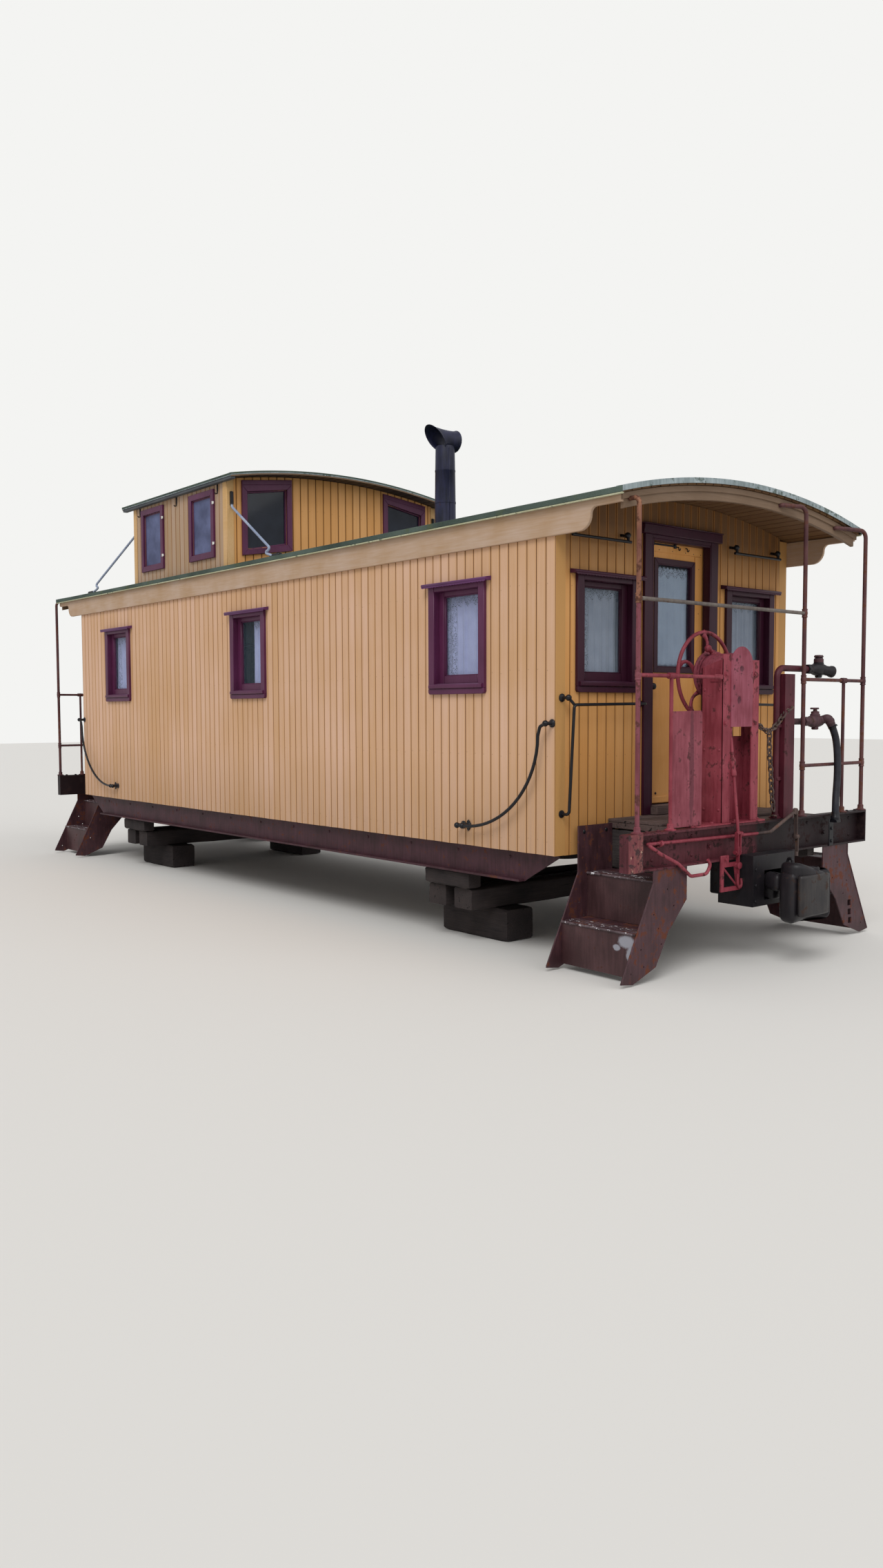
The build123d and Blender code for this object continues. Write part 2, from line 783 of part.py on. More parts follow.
def brake_hose():
    """The rubber hose as straight runs joined by tangent arcs."""
    points = [Vector(half_length + s, y, z) for s, y, z in hose_route]
    radii = []
    for before, corner, after in zip(points, points[1:], points[2:]):
        turn = (corner - before).get_angle(after - corner)
        shorter = min((corner - before).length, (after - corner).length)
        radii.append(0.45 * shorter / math.tan(math.radians(turn / 2)))
    path = FilletPolyline(*points, radius=radii)
    hose = sweep(Plane(path @ 0, z_dir=path % 0) * Circle(hose_radius), path=path)
    print("hose arc radii", [round(radius) for radius in radii], "length", round(path.length),
          "volume ratio", round(hose.volume / (path.length * math.pi * hose_radius ** 2), 4))
    return hose


def side_grab_iron():
    """A bar that drops from beside the body's corner and curves along the side."""
    y = -half_width - side_bar_stand_off
    points = [(half_length - bracket_inset + x, y, z) for x, z in side_bar_run]
    bar = rod(points, side_bar_radius, 30)
    for x, _, z in (points[0], points[-1]):
        bar += rod([(x, -half_width, z), (x, y, z)], side_bar_radius + 1)
        bar += block(x - 26, x + 26, -half_width - 12, -half_width, z - 50, z + 50)
    return bar


def end_grab_irons():
    """Two short bars high on the end wall and two L-shaped bars lower down."""
    x, reach = half_length, half_length + end_bar_stand_off
    bars = []
    for side, inset, length, z in end_bar_spans:
        low, high = sorted((side * (half_width - inset), side * (half_width - inset - length)))
        bars.append(rod([(x, low, z), (reach, low, z), (reach, high, z), (x, high, z)], rail_bar_radius))
    inner = door_casing - frame_low + low_bar_gap
    outer, foot = (half_width - inset for inset in low_bar_insets)
    for side in (-1, 1):
        bars.append(rod([(x, side * inner, low_bar_height), (reach, side * inner, low_bar_height),
                         (reach, side * outer, low_bar_height - 10), (reach, side * foot, floor_top),
                         (x, side * foot, floor_top)], rail_bar_radius))
    return bars


def brake_rigging():
    """The rod from the brake gear, its clevis, and the crank on a bracket under the end sill."""
    x, face = half_length, platform_depth + 2
    gear = rod([(x + 690, -300, cover_bottom + 280), (x + 700, -305, cover_bottom - 60),
                (x + 766, -311, end_sill_bottom + 160)], 11)
    gear += end_block(750, 782, -330, -292, end_sill_bottom + 120, end_sill_bottom + 185)
    gear += end_block(758, 774, -322, -300, end_sill_bottom - 190, end_sill_bottom + 130)
    bracket = [(-490, -15), (-290, -15), (-290, -60), (-striker_half_width - 5, -220), (-490, -220)]
    hole = [(-460, -45), (-330, -45), (-300, -190), (-460, -190)]
    gear += end_plate([(y, end_sill_bottom + z) for y, z in bracket], face, face + 15)
    gear -= end_plate([(y, end_sill_bottom + z) for y, z in hole], face, face + 15)
    gear += end_block(platform_depth, face + 15, -490, -400, end_sill_bottom - 15, end_sill_bottom + 40)
    return gear + Pos(x + 770, -311, end_sill_bottom - 40) * Rot(0, 90, 0) * Cylinder(24, 40)


def uncoupling_lever():
    """A rod along the sill with a curled handle at the corner, a lifting arm and its link."""
    x = half_length
    z = end_sill_bottom + lever_rise
    front = x + platform_depth + 22
    rod_x = x + sill_back + end_sill_web + 36
    lever = rod([(front, -654, z - 148), (front, -625, z - 185), (front, -666, z - 247), (front, -843, z - 247),
                 (front, -982, z - 147), (front, -1168, z - 66), (front - 6, -1285, z), (rod_x, -1240, z),
                 (rod_x, 20, z - 15), (front, 90, z - 5), (front + 6, 395, end_sill_top + 49)], 12, 18)
    for y in (-1100, -200):
        lever += end_block(sill_back + end_sill_web, platform_depth - 34, y - 12, y + 12, z - 34, z + 10)
    return lever + rod([(front + 6, 390, end_sill_top + 49), (front + 8, 418, end_sill_top - 210),
                        (front + 8, 412, end_sill_top - 295)], 12, 30)


def striker():
    """The casting that the coupler passes through, hollow, with a framed mouth."""
    half = striker_half_width
    shank_low = coupler_height - shank_size / 2
    box = end_block(striker_back, sill_back, -half, half, striker_bottom, centre_sill_bottom)
    box += end_block(sill_back, platform_depth, -half, half, striker_bottom, end_sill_bottom)
    box += end_block(platform_depth, striker_front, -half, half, striker_bottom, striker_top)
    box -= end_block(striker_back, striker_front - striker_wall, -half + striker_wall, half - striker_wall,
                     shank_low, centre_sill_bottom - striker_wall)
    mouth = half - striker_jamb
    return box - end_block(striker_back, striker_front, -mouth, mouth, shank_low, striker_top - striker_head)


def level_plate(points, z0, z1):
    """A flat piece drawn in s and Y, from z0 to z1."""
    return outline_plate([(half_length + s, y) for s, y in points], Plane.XY.offset(z0), z1 - z0)


def coupler():
    """Draft block between the centre sills, shank, head with its guard arm, and the knuckle's two lugs."""
    half = shank_size / 2
    between = centre_sill_offset - centre_sill_web
    body = end_block(striker_back - draft_block_length, striker_back, -between, between,
                     coupler_height - half, deck_bottom - 70)
    body += end_block(striker_back, head_back + 20, -half, half, coupler_height - half, coupler_height + half)
    low, high = coupler_height - head_height / 2, coupler_height + head_height / 2
    body += level_plate(head_outline, low, high)
    gap = knuckle_height / 2 + 6
    body += level_plate(lug_outline, low, coupler_height - gap)
    return body + level_plate(lug_outline, coupler_height + gap, high)


def knuckle():
    return level_plate(knuckle_outline, coupler_height - knuckle_height / 2, coupler_height + knuckle_height / 2)


def side_sill():
    """A plate under the -Y wall with a flange along its foot, tapered up at both ends."""
    reach = half_length - side_sill_end
    flat = reach - side_sill_taper
    outline = [(-reach, siding_bottom), (-reach, siding_bottom - 20), (-flat, side_sill_bottom),
               (flat, side_sill_bottom), (reach, siding_bottom - 20), (reach, siding_bottom)]
    web = outline_plate(outline, Plane.XZ.offset(side_sill_face - side_sill_web), side_sill_web)
    return web + block(-flat, flat, -side_sill_face - side_sill_flange, -side_sill_face + side_sill_web,
                       side_sill_bottom, side_sill_bottom + side_sill_flange_thickness)


def centre_sill():
    """Two channels back to back under the floor, and the cover plate that lies on them inside the body."""
    reach, flange = half_length + sill_back, sill_flange_thickness
    pieces = [block(-half_length, half_length, -centre_sill_half, centre_sill_half, deck_bottom, deck_bottom + sill_cover)]
    for side in (-1, 1):
        web, edge = side * (centre_sill_offset - centre_sill_web), side * centre_sill_half
        pieces.append(joined([
            block(-reach, reach, web, side * centre_sill_offset, centre_sill_bottom, deck_bottom),
            block(-reach, reach, web, edge, centre_sill_bottom, centre_sill_bottom + flange),
            block(-reach, reach, web, edge, deck_bottom - flange, deck_bottom)]))
    return pieces


def sill_envelope():
    return block(-half_length, half_length, -centre_sill_half, centre_sill_half,
                 centre_sill_bottom, deck_bottom + sill_cover)


def bolster():
    """The cross beam over a truck's place, with its centre plate and the bore for the centre pin."""
    wide = side_sill_face - side_sill_web
    outline = [(-wide, siding_bottom - 110), (-wide, siding_bottom), (-inner_width, siding_bottom),
               (-inner_width, floor_bottom), (inner_width, floor_bottom), (inner_width, siding_bottom),
               (wide, siding_bottom), (wide, siding_bottom - 110), (600, bolster_bottom), (-600, bolster_bottom)]
    start = bolster_place - bolster_length / 2
    beam = outline_plate(outline, Plane.YZ.offset(start), bolster_length) - sill_envelope()
    plate = bolster_bottom - centre_plate_height
    beam += Pos(bolster_place, 0, (plate + bolster_bottom) / 2) * Cylinder(centre_plate_radius, centre_plate_height)
    return beam - Pos(bolster_place, 0, centre_sill_bottom / 2) * Cylinder(centre_pin_radius, centre_sill_bottom)


def cross_bearer(place):
    start = place - cross_bearer_length / 2
    beam = block(start, start + cross_bearer_length, -inner_width, inner_width, siding_bottom, floor_bottom)
    return beam - sill_envelope()


def air_tanks():
    """The brake cylinder and its reservoir, hung under the floor between the cross bearers."""
    tanks = []
    for x, y, radius, length in tank_places:
        z = floor_bottom - radius - 40
        tank = Pos(x, y, z) * Rot(0, 90, 0) * Cylinder(radius, length)
        for strap in (-length / 3, length / 3):
            tank += block(x + strap - 20, x + strap + 20, y - 35, y + 35, z, floor_bottom)
        tanks.append(tank)
    return tanks


def crib_place(index):
    return bolster_place + crib_shift + (index - 0.5) * tie_spacing


def cross_ties():
    return [block(crib_place(index) - tie_width / 2, crib_place(index) + tie_width / 2,
                  -half_width + tie_end_inset, half_width - tie_end_inset, base_timber_height, crib_top)
            for index in (0, 1)]


def crib_timber(offset, width, low, high, overlap):
    """A lengthwise timber across both ties of the +X crib, on the -Y side."""
    return block(crib_place(0) - tie_width / 2 - overlap, crib_place(1) + tie_width / 2 + overlap,
                 -offset - width / 2, -offset + width / 2, low, high)


write("left_wall", [side_wall()])
write("right_wall", [turned(side_wall())])
write("front_wall", [end_wall()])
write("rear_wall", [turned(end_wall())])
write("floor", [block(-half_length + wall_thickness, half_length - wall_thickness, -inner_width, inner_width,
                      floor_bottom, floor_top)])
write("main_roof", [main_roof()])
write("roof_arch_boards", both_ends(arch_board()))
write("letterboards", both_ends(letterboard()))
write("window_frames", body_windows(window_unit()))
write("window_glass", body_windows(window_pane()))
write("window_curtains", body_windows(window_curtain()))
write("cupola_side_walls", both_sides(cupola_side_wall()))
write("cupola_end_walls", [cupola_end_wall(cupola_front - cupola_wall, cupola_front),
                           cupola_end_wall(cupola_back, cupola_back + cupola_wall)])
write("cupola_window_casings", cupola_windows(-casing_thickness, 0, True))
write("cupola_glass", cupola_windows(cupola_glass_recess, cupola_glass_recess + glass_thickness, False))
write("cupola_roof", [cupola_roof()])
cupola_middle = Plane.YZ.offset(cupola_front - cupola_length / 2)
write("cupola_handrails", both_sides(cupola_handrail()) + both_sides(mirror(cupola_handrail(), cupola_middle)))
write("smokejack", [smokejack()])
write("front_door", [door_leaf()] + door_knobs())
write("rear_door", [turned(piece) for piece in [door_leaf()] + door_knobs()])
write("front_door_glass", [door_pane()])
write("rear_door_glass", [turned(door_pane())])
write("front_door_curtain", [door_curtain()])
write("rear_door_curtain", [turned(door_curtain())])
write("door_frames", both_ends(door_frame()))
write("door_hinges", both_ends(*hinges(1, -hinge_height / 2, 0)))
write("platform_decks", both_ends(deck()))
write("end_sills", both_ends(end_sill()))
write("steps", both_ends(steps(-1), steps(1)))
write("railings", both_ends(railing()))
write("brake_stands", both_ends(brake_stand()))
write("brake_wheels", both_ends(brake_wheel()))
write("gangway_posts", both_ends(gangway_post()))
write("air_pipes", both_ends(*air_pipes()))
write("brake_hose", [brake_hose()])
write("brake_rigging", both_ends(brake_rigging()))
write("uncoupling_levers", both_ends(uncoupling_lever()))
write("strikers", both_ends(striker()))
write("couplers", both_ends(coupler()))
write("knuckles", both_ends(knuckle()))
write("side_grab_irons", both_ends(side_grab_iron(), mirror(side_grab_iron(), Plane.YZ)))
write("end_grab_irons", both_ends(*end_grab_irons()))
write("side_sills", both_ends(side_sill()))
write("centre_sill", centre_sill())
write("body_bolsters", both_ends(bolster()))
write("cross_bearers", [cross_bearer(place) for place in cross_bearer_places])
write("air_tanks", air_tanks())
write("cross_ties", both_ends(*cross_ties()))
write("base_timbers", both_ends(*both_sides(crib_timber(base_timber_offset, base_timber_width,
                                                        0, base_timber_height, base_timber_overlap))))
write("packing_timbers", both_ends(*both_sides(crib_timber(side_sill_face - packing_inset, packing_width,
                                                           crib_top, side_sill_bottom, 0))))
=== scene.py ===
"""The looks of a wooden caboose that stands on timber cribbing, built round its CAD frame.

Metres. +X is the end with the brake hose, -Y the long side that the camera sees, +Z up.
The far end is the near end turned half a turn about Z, as in the frame, so most end
pieces are worked out at the +X end, where s is the distance beyond the end wall.
"""
import math
from functools import partial

import bpy
import numpy as np
from mathutils import Matrix, Vector
from mathutils.geometry import tessellate_polygon


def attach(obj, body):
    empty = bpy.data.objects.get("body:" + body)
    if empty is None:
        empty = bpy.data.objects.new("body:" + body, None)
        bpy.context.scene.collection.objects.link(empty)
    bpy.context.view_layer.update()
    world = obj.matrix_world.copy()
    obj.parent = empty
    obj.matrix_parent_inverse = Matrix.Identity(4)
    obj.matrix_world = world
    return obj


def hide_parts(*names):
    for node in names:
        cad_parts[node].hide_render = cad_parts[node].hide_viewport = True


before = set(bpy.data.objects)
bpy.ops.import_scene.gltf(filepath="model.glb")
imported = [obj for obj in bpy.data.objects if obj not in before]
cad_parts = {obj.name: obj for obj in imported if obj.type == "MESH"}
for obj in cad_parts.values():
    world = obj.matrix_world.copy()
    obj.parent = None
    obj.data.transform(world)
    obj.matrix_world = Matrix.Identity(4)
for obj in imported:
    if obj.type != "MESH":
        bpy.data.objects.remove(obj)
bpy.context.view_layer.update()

WALL = 4.14            # the end wall's outer face
SIDE = 1.4             # the long wall's outer face
BOARD = 8.28 / 86      # pitch of the matchboards
ROOF_RADIUS, ROOF_AXIS = 5.853638, -2.378638         # the main roof's arc, and its axis's height
CUPOLA_RADIUS, CUPOLA_AXIS = 7.271429, -2.931429
ALONG, ACROSS, UP = (1, 0, 0), (0, 1, 0), (0, 0, 1)
GLOSS = 0.3            # how strongly a weathered coat reflects
rng = np.random.default_rng(7)


# Camera: where the photograph was taken from, its heading, tilt and roll in radians, its lens in millimetres

EYE = (9.790, -7.163, 1.829)
HEADING, TILT, ROLL = 0.6958, 0.0633, -0.0034
camera = bpy.data.objects.new("camera", bpy.data.cameras.new("camera"))
bpy.context.scene.collection.objects.link(camera)
bpy.context.scene.camera = camera
camera.data.sensor_fit = "VERTICAL"
camera.data.sensor_height = 36
camera.data.lens = 26.16
camera.data.clip_end = 400
ahead = Vector((-math.cos(HEADING) * math.cos(TILT), math.sin(HEADING) * math.cos(TILT), -math.sin(TILT)))
level = ahead.cross(Vector((0, 0, 1))).normalized()
above = level.cross(ahead)
right = level * math.cos(ROLL) + above * math.sin(ROLL)
upward = above * math.cos(ROLL) - level * math.sin(ROLL)
camera.matrix_world = Matrix.Translation(EYE) @ Matrix((right, upward, -ahead)).transposed().to_4x4()


# The brake hose: a curve whose control points are the points of its route, and whose radius is set at each

HOSE_ROUTE = (
    (4.875, 0.934, 1.716), (4.878, 0.984, 1.647), (4.883, 1.008, 1.543), (4.890, 1.010, 1.410),
    (4.897, 0.996, 1.279), (4.905, 0.968, 1.160), (4.920, 0.940, 1.062), (4.920, 0.940, 0.975),
)
HOSE_LENGTH, HOSE_DIAMETER = 0.778, 0.056
hose_line = bpy.data.curves.new("brake_air_hose", "CURVE")
hose_line.dimensions = "3D"
hose_line.bevel_depth = 1.0
hose_line.bevel_resolution = 6
hose_line.resolution_u = 16
hose_line.use_fill_caps = True
run = hose_line.splines.new("NURBS")
run.points.add(len(HOSE_ROUTE) - 1)
for point, place in zip(run.points, HOSE_ROUTE):
    point.co = (*place, 1)
    point.radius = HOSE_DIAMETER / 2
run.order_u = 3
run.use_endpoint_u = True
hose = bpy.data.objects.new("brake_air_hose", hose_line)
bpy.context.scene.collection.objects.link(hose)
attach(hose, "car")
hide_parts("brake_hose")
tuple(HOSE_ROUTE[0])


# Shapes: a pair of points and face arrays, all worked out as whole arrays

def unit(vectors):
    """Each vector divided by its length."""
    vectors = np.asarray(vectors, float)
    return vectors / np.maximum(np.linalg.norm(vectors, axis=-1, keepdims=True), 1e-12)


def merged(*shapes):
    """Several shapes as one, their face numbers moved up by the points before them."""
    points, faces, start = [], [], 0
    for some, sides in shapes:
        points.append(np.asarray(some, float))
        faces += [side + start for side in sides]
        start += len(some)
    return np.concatenate(points), faces


def outward(points, faces):
    """Faces turned round when the closed shape's volume, a sum of triple products, comes out negative."""
    volume = 0.0
    for side in faces:
        first = points[side[:, 0]]
        for k in range(1, side.shape[1] - 1):
            volume += np.einsum("ij,ij->", first, np.cross(points[side[:, k]], points[side[:, k + 1]]))
    return points, faces if volume > 0 else [side[:, ::-1] for side in faces]


def turned(shape):
    """Half a turn about Z: x and y change sign."""
    return shape[0] * (-1, -1, 1), shape[1]


def flipped(shape, *signs):
    """A mirror image: each axis is multiplied by its sign and the faces are turned round."""
    return shape[0] * signs, [side[:, ::-1] for side in shape[1]]


def both_ends(shape):
    """A shape and its twin, turned half a turn about Z."""
    return merged(shape, turned(shape))


def mirrored(shape):
    """A shape and its mirror image across the car's middle line."""
    return merged(shape, flipped(shape, 1, -1, 1))


def moved(shape, *offset):
    """Each point plus the offset."""
    return shape[0] + offset, shape[1]


def skin(rings, closed=False):
    """Quads between neighbouring rings of points; the ends are flat faces, or the last ring meets the first."""
    rings = np.asarray(rings, float)
    count, around = rings.shape[:2]
    index = np.arange(count * around).reshape(count, around)
    here = index if closed else index[:-1]
    beyond = np.roll(index, -1, 0) if closed else index[1:]
    quads = np.stack([here, np.roll(here, -1, 1), np.roll(beyond, -1, 1), beyond], -1).reshape(-1, 4)
    return outward(rings.reshape(-1, 3), [quads] if closed else [quads, index[:1, ::-1], index[-1:]])


def rounded_path(points, radius, steps=5):
    """A bar's bends: each corner becomes an arc that touches both runs, the radius over the tangent of half the
    inner angle back from it."""
    points = np.asarray(points, float)
    if len(points) < 3:
        return points
    back, on = points[:-2] - points[1:-1], points[2:] - points[1:-1]
    shorter = np.minimum(np.linalg.norm(back, axis=1), np.linalg.norm(on, axis=1))
    back, on = unit(back), unit(on)
    half = np.arccos(np.clip(np.sum(back * on, 1), -0.99999, 0.99999)) / 2
    reach = np.minimum(radius / np.tan(half), 0.46 * shorter)
    centre = points[1:-1] + unit(back + on) * (reach / np.cos(half))[:, None]
    first, last = points[1:-1] + back * reach[:, None] - centre, points[1:-1] + on * reach[:, None] - centre
    sweep = (math.pi - 2 * half)[:, None, None]
    share = np.linspace(0, 1, steps + 1)[None, :, None]
    arcs = np.sin((1 - share) * sweep) * first[:, None] + np.sin(share * sweep) * last[:, None]
    arcs = centre[:, None] + arcs / np.sin(sweep)
    return np.concatenate([points[:1], arcs.reshape(-1, 3), points[-1:]])


def carried(profile, path, closed=False, up=None):
    """A closed profile, columns side and up, carried along a path; a stack of them has one for each point."""
    path = np.asarray(path, float)
    steps = unit(np.roll(path, -1, 0) - path if closed else np.diff(path, axis=0))
    before = np.roll(steps, 1, 0) if closed else np.concatenate([steps[:1], steps])
    after = steps if closed else np.concatenate([steps, steps[-1:]])
    forward = unit(before + after)
    if up is None:
        tries = unit([ALONG, ACROSS, UP, (1, 1, 0), (1, -1, 0), (1, 0, 1), (1, 0, -1), (0, 1, 1), (0, 1, -1),
                      (1, 1, 1), (1, -1, 1), (1, 1, -1), (-1, 1, 1)])
        up = tries[np.argmin(np.abs(forward @ tries.T).max(0))]
    across = unit(np.cross(forward, up))
    upright = np.cross(across, forward)
    profile = np.asarray(profile, float)
    profile = profile[None] if profile.ndim == 2 else profile
    rings = path[:, None] + profile[..., :1] * across[:, None] + profile[..., 1:] * upright[:, None]
    return skin(rings, closed)


def circle(radius, around=12):
    """Points at equal angles: radius times the cosine and the sine."""
    angle = np.arange(around) * 2 * math.pi / around
    return np.stack([radius * np.cos(angle), radius * np.sin(angle)], 1)


def pipe(points, radius, bend=0.03, around=12, closed=False, steps=5):
    """A round bar along a path whose corners are arcs; one radius, or one for each point when bend is 0."""
    path = rounded_path(points, bend, steps) if bend else np.asarray(points, float)
    profile = circle(1, around)
    sizes = np.broadcast_to(np.asarray(radius, float), (len(path),))
    return carried(profile[None] * sizes[:, None, None], path, closed)


def lathe(profile, centre, axis, around=20):
    """Turned on an axis: each row of the profile, radius and height, is a ring around it."""
    axis = unit(np.asarray(axis, float))
    side = unit(np.cross(axis, (0.0, 0.0, 1.0) if abs(axis[2]) < 0.9 else (0.0, 1.0, 0.0)))
    other = np.cross(axis, side)
    ring = circle(1, around)
    profile = np.asarray(profile, float)
    across = ring[:, :1] * side + ring[:, 1:] * other
    return skin(np.asarray(centre, float) + profile[:, None, :1] * across + profile[:, None, 1:] * axis)


def repeated(shape, places):
    """One small shape at many places, its points added to each of them."""
    places = np.asarray(places, float).reshape(-1, 3)
    points = (places[:, None] + shape[0]).reshape(-1, 3)
    starts = np.arange(len(places)) * len(shape[0])
    return points, [(side[None] + starts[:, None, None]).reshape(-1, side.shape[1]) for side in shape[1]]


def blocks(boxes, edge=0.004):
    """Squared boards with eased edges, from rows x0, x1, y0, y1, z0, z1. A corner has one point on each of its
    three faces, drawn in by the edge width along the other two axes."""
    spans = np.asarray(boxes, float).reshape(-1, 3, 2)
    spans = np.sort(spans, axis=2)
    edge = np.minimum(edge, 0.45 * (spans[..., 1] - spans[..., 0]).min(1))[:, None, None]
    corner = np.array([(i, j, k) for i in (0, 1) for j in (0, 1) for k in (0, 1)])
    full = spans[:, [0, 1, 2], corner]
    drawn = full + edge * (1 - 2 * corner)
    own = np.eye(3, dtype=bool)
    points = np.where(own[None, None], full[:, :, None], drawn[:, :, None])
    centre = spans.mean(2)[0]
    quads, thirds = [], [[c * 3, c * 3 + 1, c * 3 + 2] for c in range(8)]
    number = lambda c, axis: (c[0] * 4 + c[1] * 2 + c[2]) * 3 + axis
    for axis in range(3):
        one, two = [a for a in range(3) if a != axis]
        for end in (0, 1):
            loop = []
            for i, j in ((0, 0), (1, 0), (1, 1), (0, 1)):
                c = [0, 0, 0]
                c[axis], c[one], c[two] = end, i, j
                loop.append(number(c, axis))
            quads.append(loop)
        for i, j in ((0, 0), (1, 0), (1, 1), (0, 1)):
            low, high = [0, 0, 0], [0, 0, 0]
            low[one], low[two], high[one], high[two] = i, j, i, j
            high[axis] = 1
            quads.append([number(low, one), number(high, one), number(high, two), number(low, two)])
    sides = []
    for side in (np.array(quads), np.array(thirds)):
        at = points[0].reshape(-1, 3)[side]
        normal = np.cross(at[:, 1] - at[:, 0], at[:, 2] - at[:, 0])
        wrong = np.sum(normal * (at.mean(1) - centre), 1) < 0
        side[wrong] = side[wrong][:, ::-1]
        starts = np.arange(len(spans)) * 24
        sides.append((side[None] + starts[:, None, None]).reshape(-1, side.shape[1]))
    return points.reshape(-1, 3), sides


def plate(outline, low, high, axis=0, edge=0.002):
    """A flat plate between two depths along an axis, its outline drawn in the other two. Each face is smaller by
    the edge width along its corners' bisectors."""
    outline = np.asarray(outline, float)
    run = unit(np.roll(outline, -1, 0) - outline)
    before = np.roll(run, 1, 0)
    normal = np.stack([-run[:, 1], run[:, 0]], 1), np.stack([-before[:, 1], before[:, 0]], 1)
    mitre = (normal[0] + normal[1]) / (1 + np.sum(run * before, 1, keepdims=True)).clip(0.3)
    area = np.sum(outline[:, 0] * np.roll(outline[:, 1], -1) - outline[:, 1] * np.roll(outline[:, 0], -1))
    small = outline + mitre * edge * (1 if area > 0 else -1)
    edge = min(edge, 0.45 * (high - low))
    rings = [np.insert(flat, axis, depth, axis=1) for flat, depth in
             ((small, low), (outline, low + edge), (outline, high - edge), (small, high))]
    return skin(np.array(rings))


def pierced(outline, holes, low, high, axis=0):
    """A plate with holes: its faces are cut into triangles round the holes, its walls run round each loop."""
    loops = [np.asarray(loop, float) for loop in (outline, *holes)]
    flat = np.concatenate(loops)
    triangles = np.array(tessellate_polygon([[Vector((*p, 0)) for p in loop] for loop in loops]))
    count = len(flat)
    turn = flat[triangles[:, 1]] - flat[triangles[:, 0]], flat[triangles[:, 2]] - flat[triangles[:, 0]]
    wrong = turn[0][:, 0] * turn[1][:, 1] - turn[0][:, 1] * turn[1][:, 0] < 0
    triangles[wrong] = triangles[wrong][:, ::-1]
    walls, start = [], 0
    for number, loop in enumerate(loops):
        area = np.sum(loop[:, 0] * np.roll(loop[:, 1], -1) - loop[:, 1] * np.roll(loop[:, 0], -1))
        index = start + np.arange(len(loop))
        index = index if (area > 0) == (number == 0) else index[::-1]
        after = np.roll(index, -1)
        walls.append(np.stack([index, after, after + count, index + count], 1))
        start += len(loop)
    points = np.concatenate([np.insert(flat, axis, depth, axis=1) for depth in (low, high)])
    return outward(points, [triangles[:, ::-1], triangles + count, np.concatenate(walls)])


def slab(front, back, keep):
    """A closed panel from two grids of points, rows by columns. A cell is there where keep is true, and a wall
    closes each border between a cell that is there and one that isn't."""
    rows, columns = front.shape[:2]
    index = np.arange(rows * columns).reshape(rows, columns)
    loop = np.stack([index[:-1, :-1], index[:-1, 1:], index[1:, 1:], index[1:, :-1]], -1)
    wide = np.pad(keep, 1)
    missing = [~wide[:-2, 1:-1], ~wide[1:-1, 2:], ~wide[2:, 1:-1], ~wide[1:-1, :-2]]
    edges = np.concatenate([loop[keep & gone][:, [k, (k + 1) % 4]] for k, gone in enumerate(missing)])
    far = rows * columns
    cells = loop[keep]
    walls = np.stack([edges[:, 1], edges[:, 0], edges[:, 0] + far, edges[:, 1] + far], 1)
    faces = np.concatenate([cells, cells[:, ::-1] + far, walls])
    used, faces = np.unique(faces, return_inverse=True)
    points = np.concatenate([front.reshape(-1, 3), back.reshape(-1, 3)])[used]
    return outward(points, [faces.reshape(-1, 4)])


def piece(name, shape, material, slot, body="car", stands_for=(), angle=40):
    """The object for a shape: faces smooth, with sharp edges where they meet at more than the angle."""
    points, faces = shape
    sizes = np.concatenate([np.full(len(side), side.shape[1]) for side in faces])
    corners = np.concatenate([side.ravel() for side in faces])
    mesh = bpy.data.meshes.new(name)
    mesh.vertices.add(len(points))
    mesh.vertices.foreach_set("co", np.ascontiguousarray(points, float).ravel())
    mesh.loops.add(len(corners))
    mesh.loops.foreach_set("vertex_index", corners)
    mesh.polygons.add(len(sizes))
    mesh.polygons.foreach_set("loop_start", np.cumsum(sizes) - sizes)
    mesh.update(calc_edges=True)
    mesh.validate()
    mesh.shade_smooth()
    mesh.set_sharp_from_angle(angle=math.radians(angle))
    made = bpy.data.objects.new(name, mesh)
    bpy.context.scene.collection.objects.link(made)
    mesh.materials.append(material)
    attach(made, body)
    if stands_for:
        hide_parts(*([stands_for] if isinstance(stands_for, str) else stands_for))
    return made


def roof_under(y, drop=0.0):
    """Height of the main roof's arc, less a drop measured towards its axis."""
    return ROOF_AXIS + np.sqrt((ROOF_RADIUS - drop) ** 2 - np.asarray(y, float) ** 2)


def cupola_under(y, drop=0.0):
    """The same for the cupola's roof."""
    return CUPOLA_AXIS + np.sqrt((CUPOLA_RADIUS - drop) ** 2 - np.asarray(y, float) ** 2)


# Materials: patterns are sized in metres, as one over the size of what they show

def linear(colour):
    """An sRGB hex colour in linear light: ((c + 0.055) / 1.055) to the power 2.4, or c / 12.92 where dark."""
    parts = [int(colour[i:i + 2], 16) / 255 for i in (1, 3, 5)]
    return (*(((c + 0.055) / 1.055) ** 2.4 if c > 0.04045 else c / 12.92 for c in parts), 1.0)


def node(tree, kind, *inputs, take=0, **settings):
    """Adds one node, with its settings, and gives one of its outputs, or all of them where take is None. Inputs
    come in order or as one dict by socket; each is a value, a hex colour or an output to link."""
    made = tree.nodes.new("ShaderNode" + kind)
    for name, value in settings.items():
        setattr(made, name, value)
    inputs = inputs[0] if inputs and isinstance(inputs[0], dict) else dict(enumerate(inputs))
    for socket, value in inputs.items():
        if isinstance(value, bpy.types.NodeSocket):
            tree.links.new(value, made.inputs[socket])
        else:
            made.inputs[socket].default_value = linear(value) if isinstance(value, str) else value
    return made.outputs if take is None else made.outputs[take]


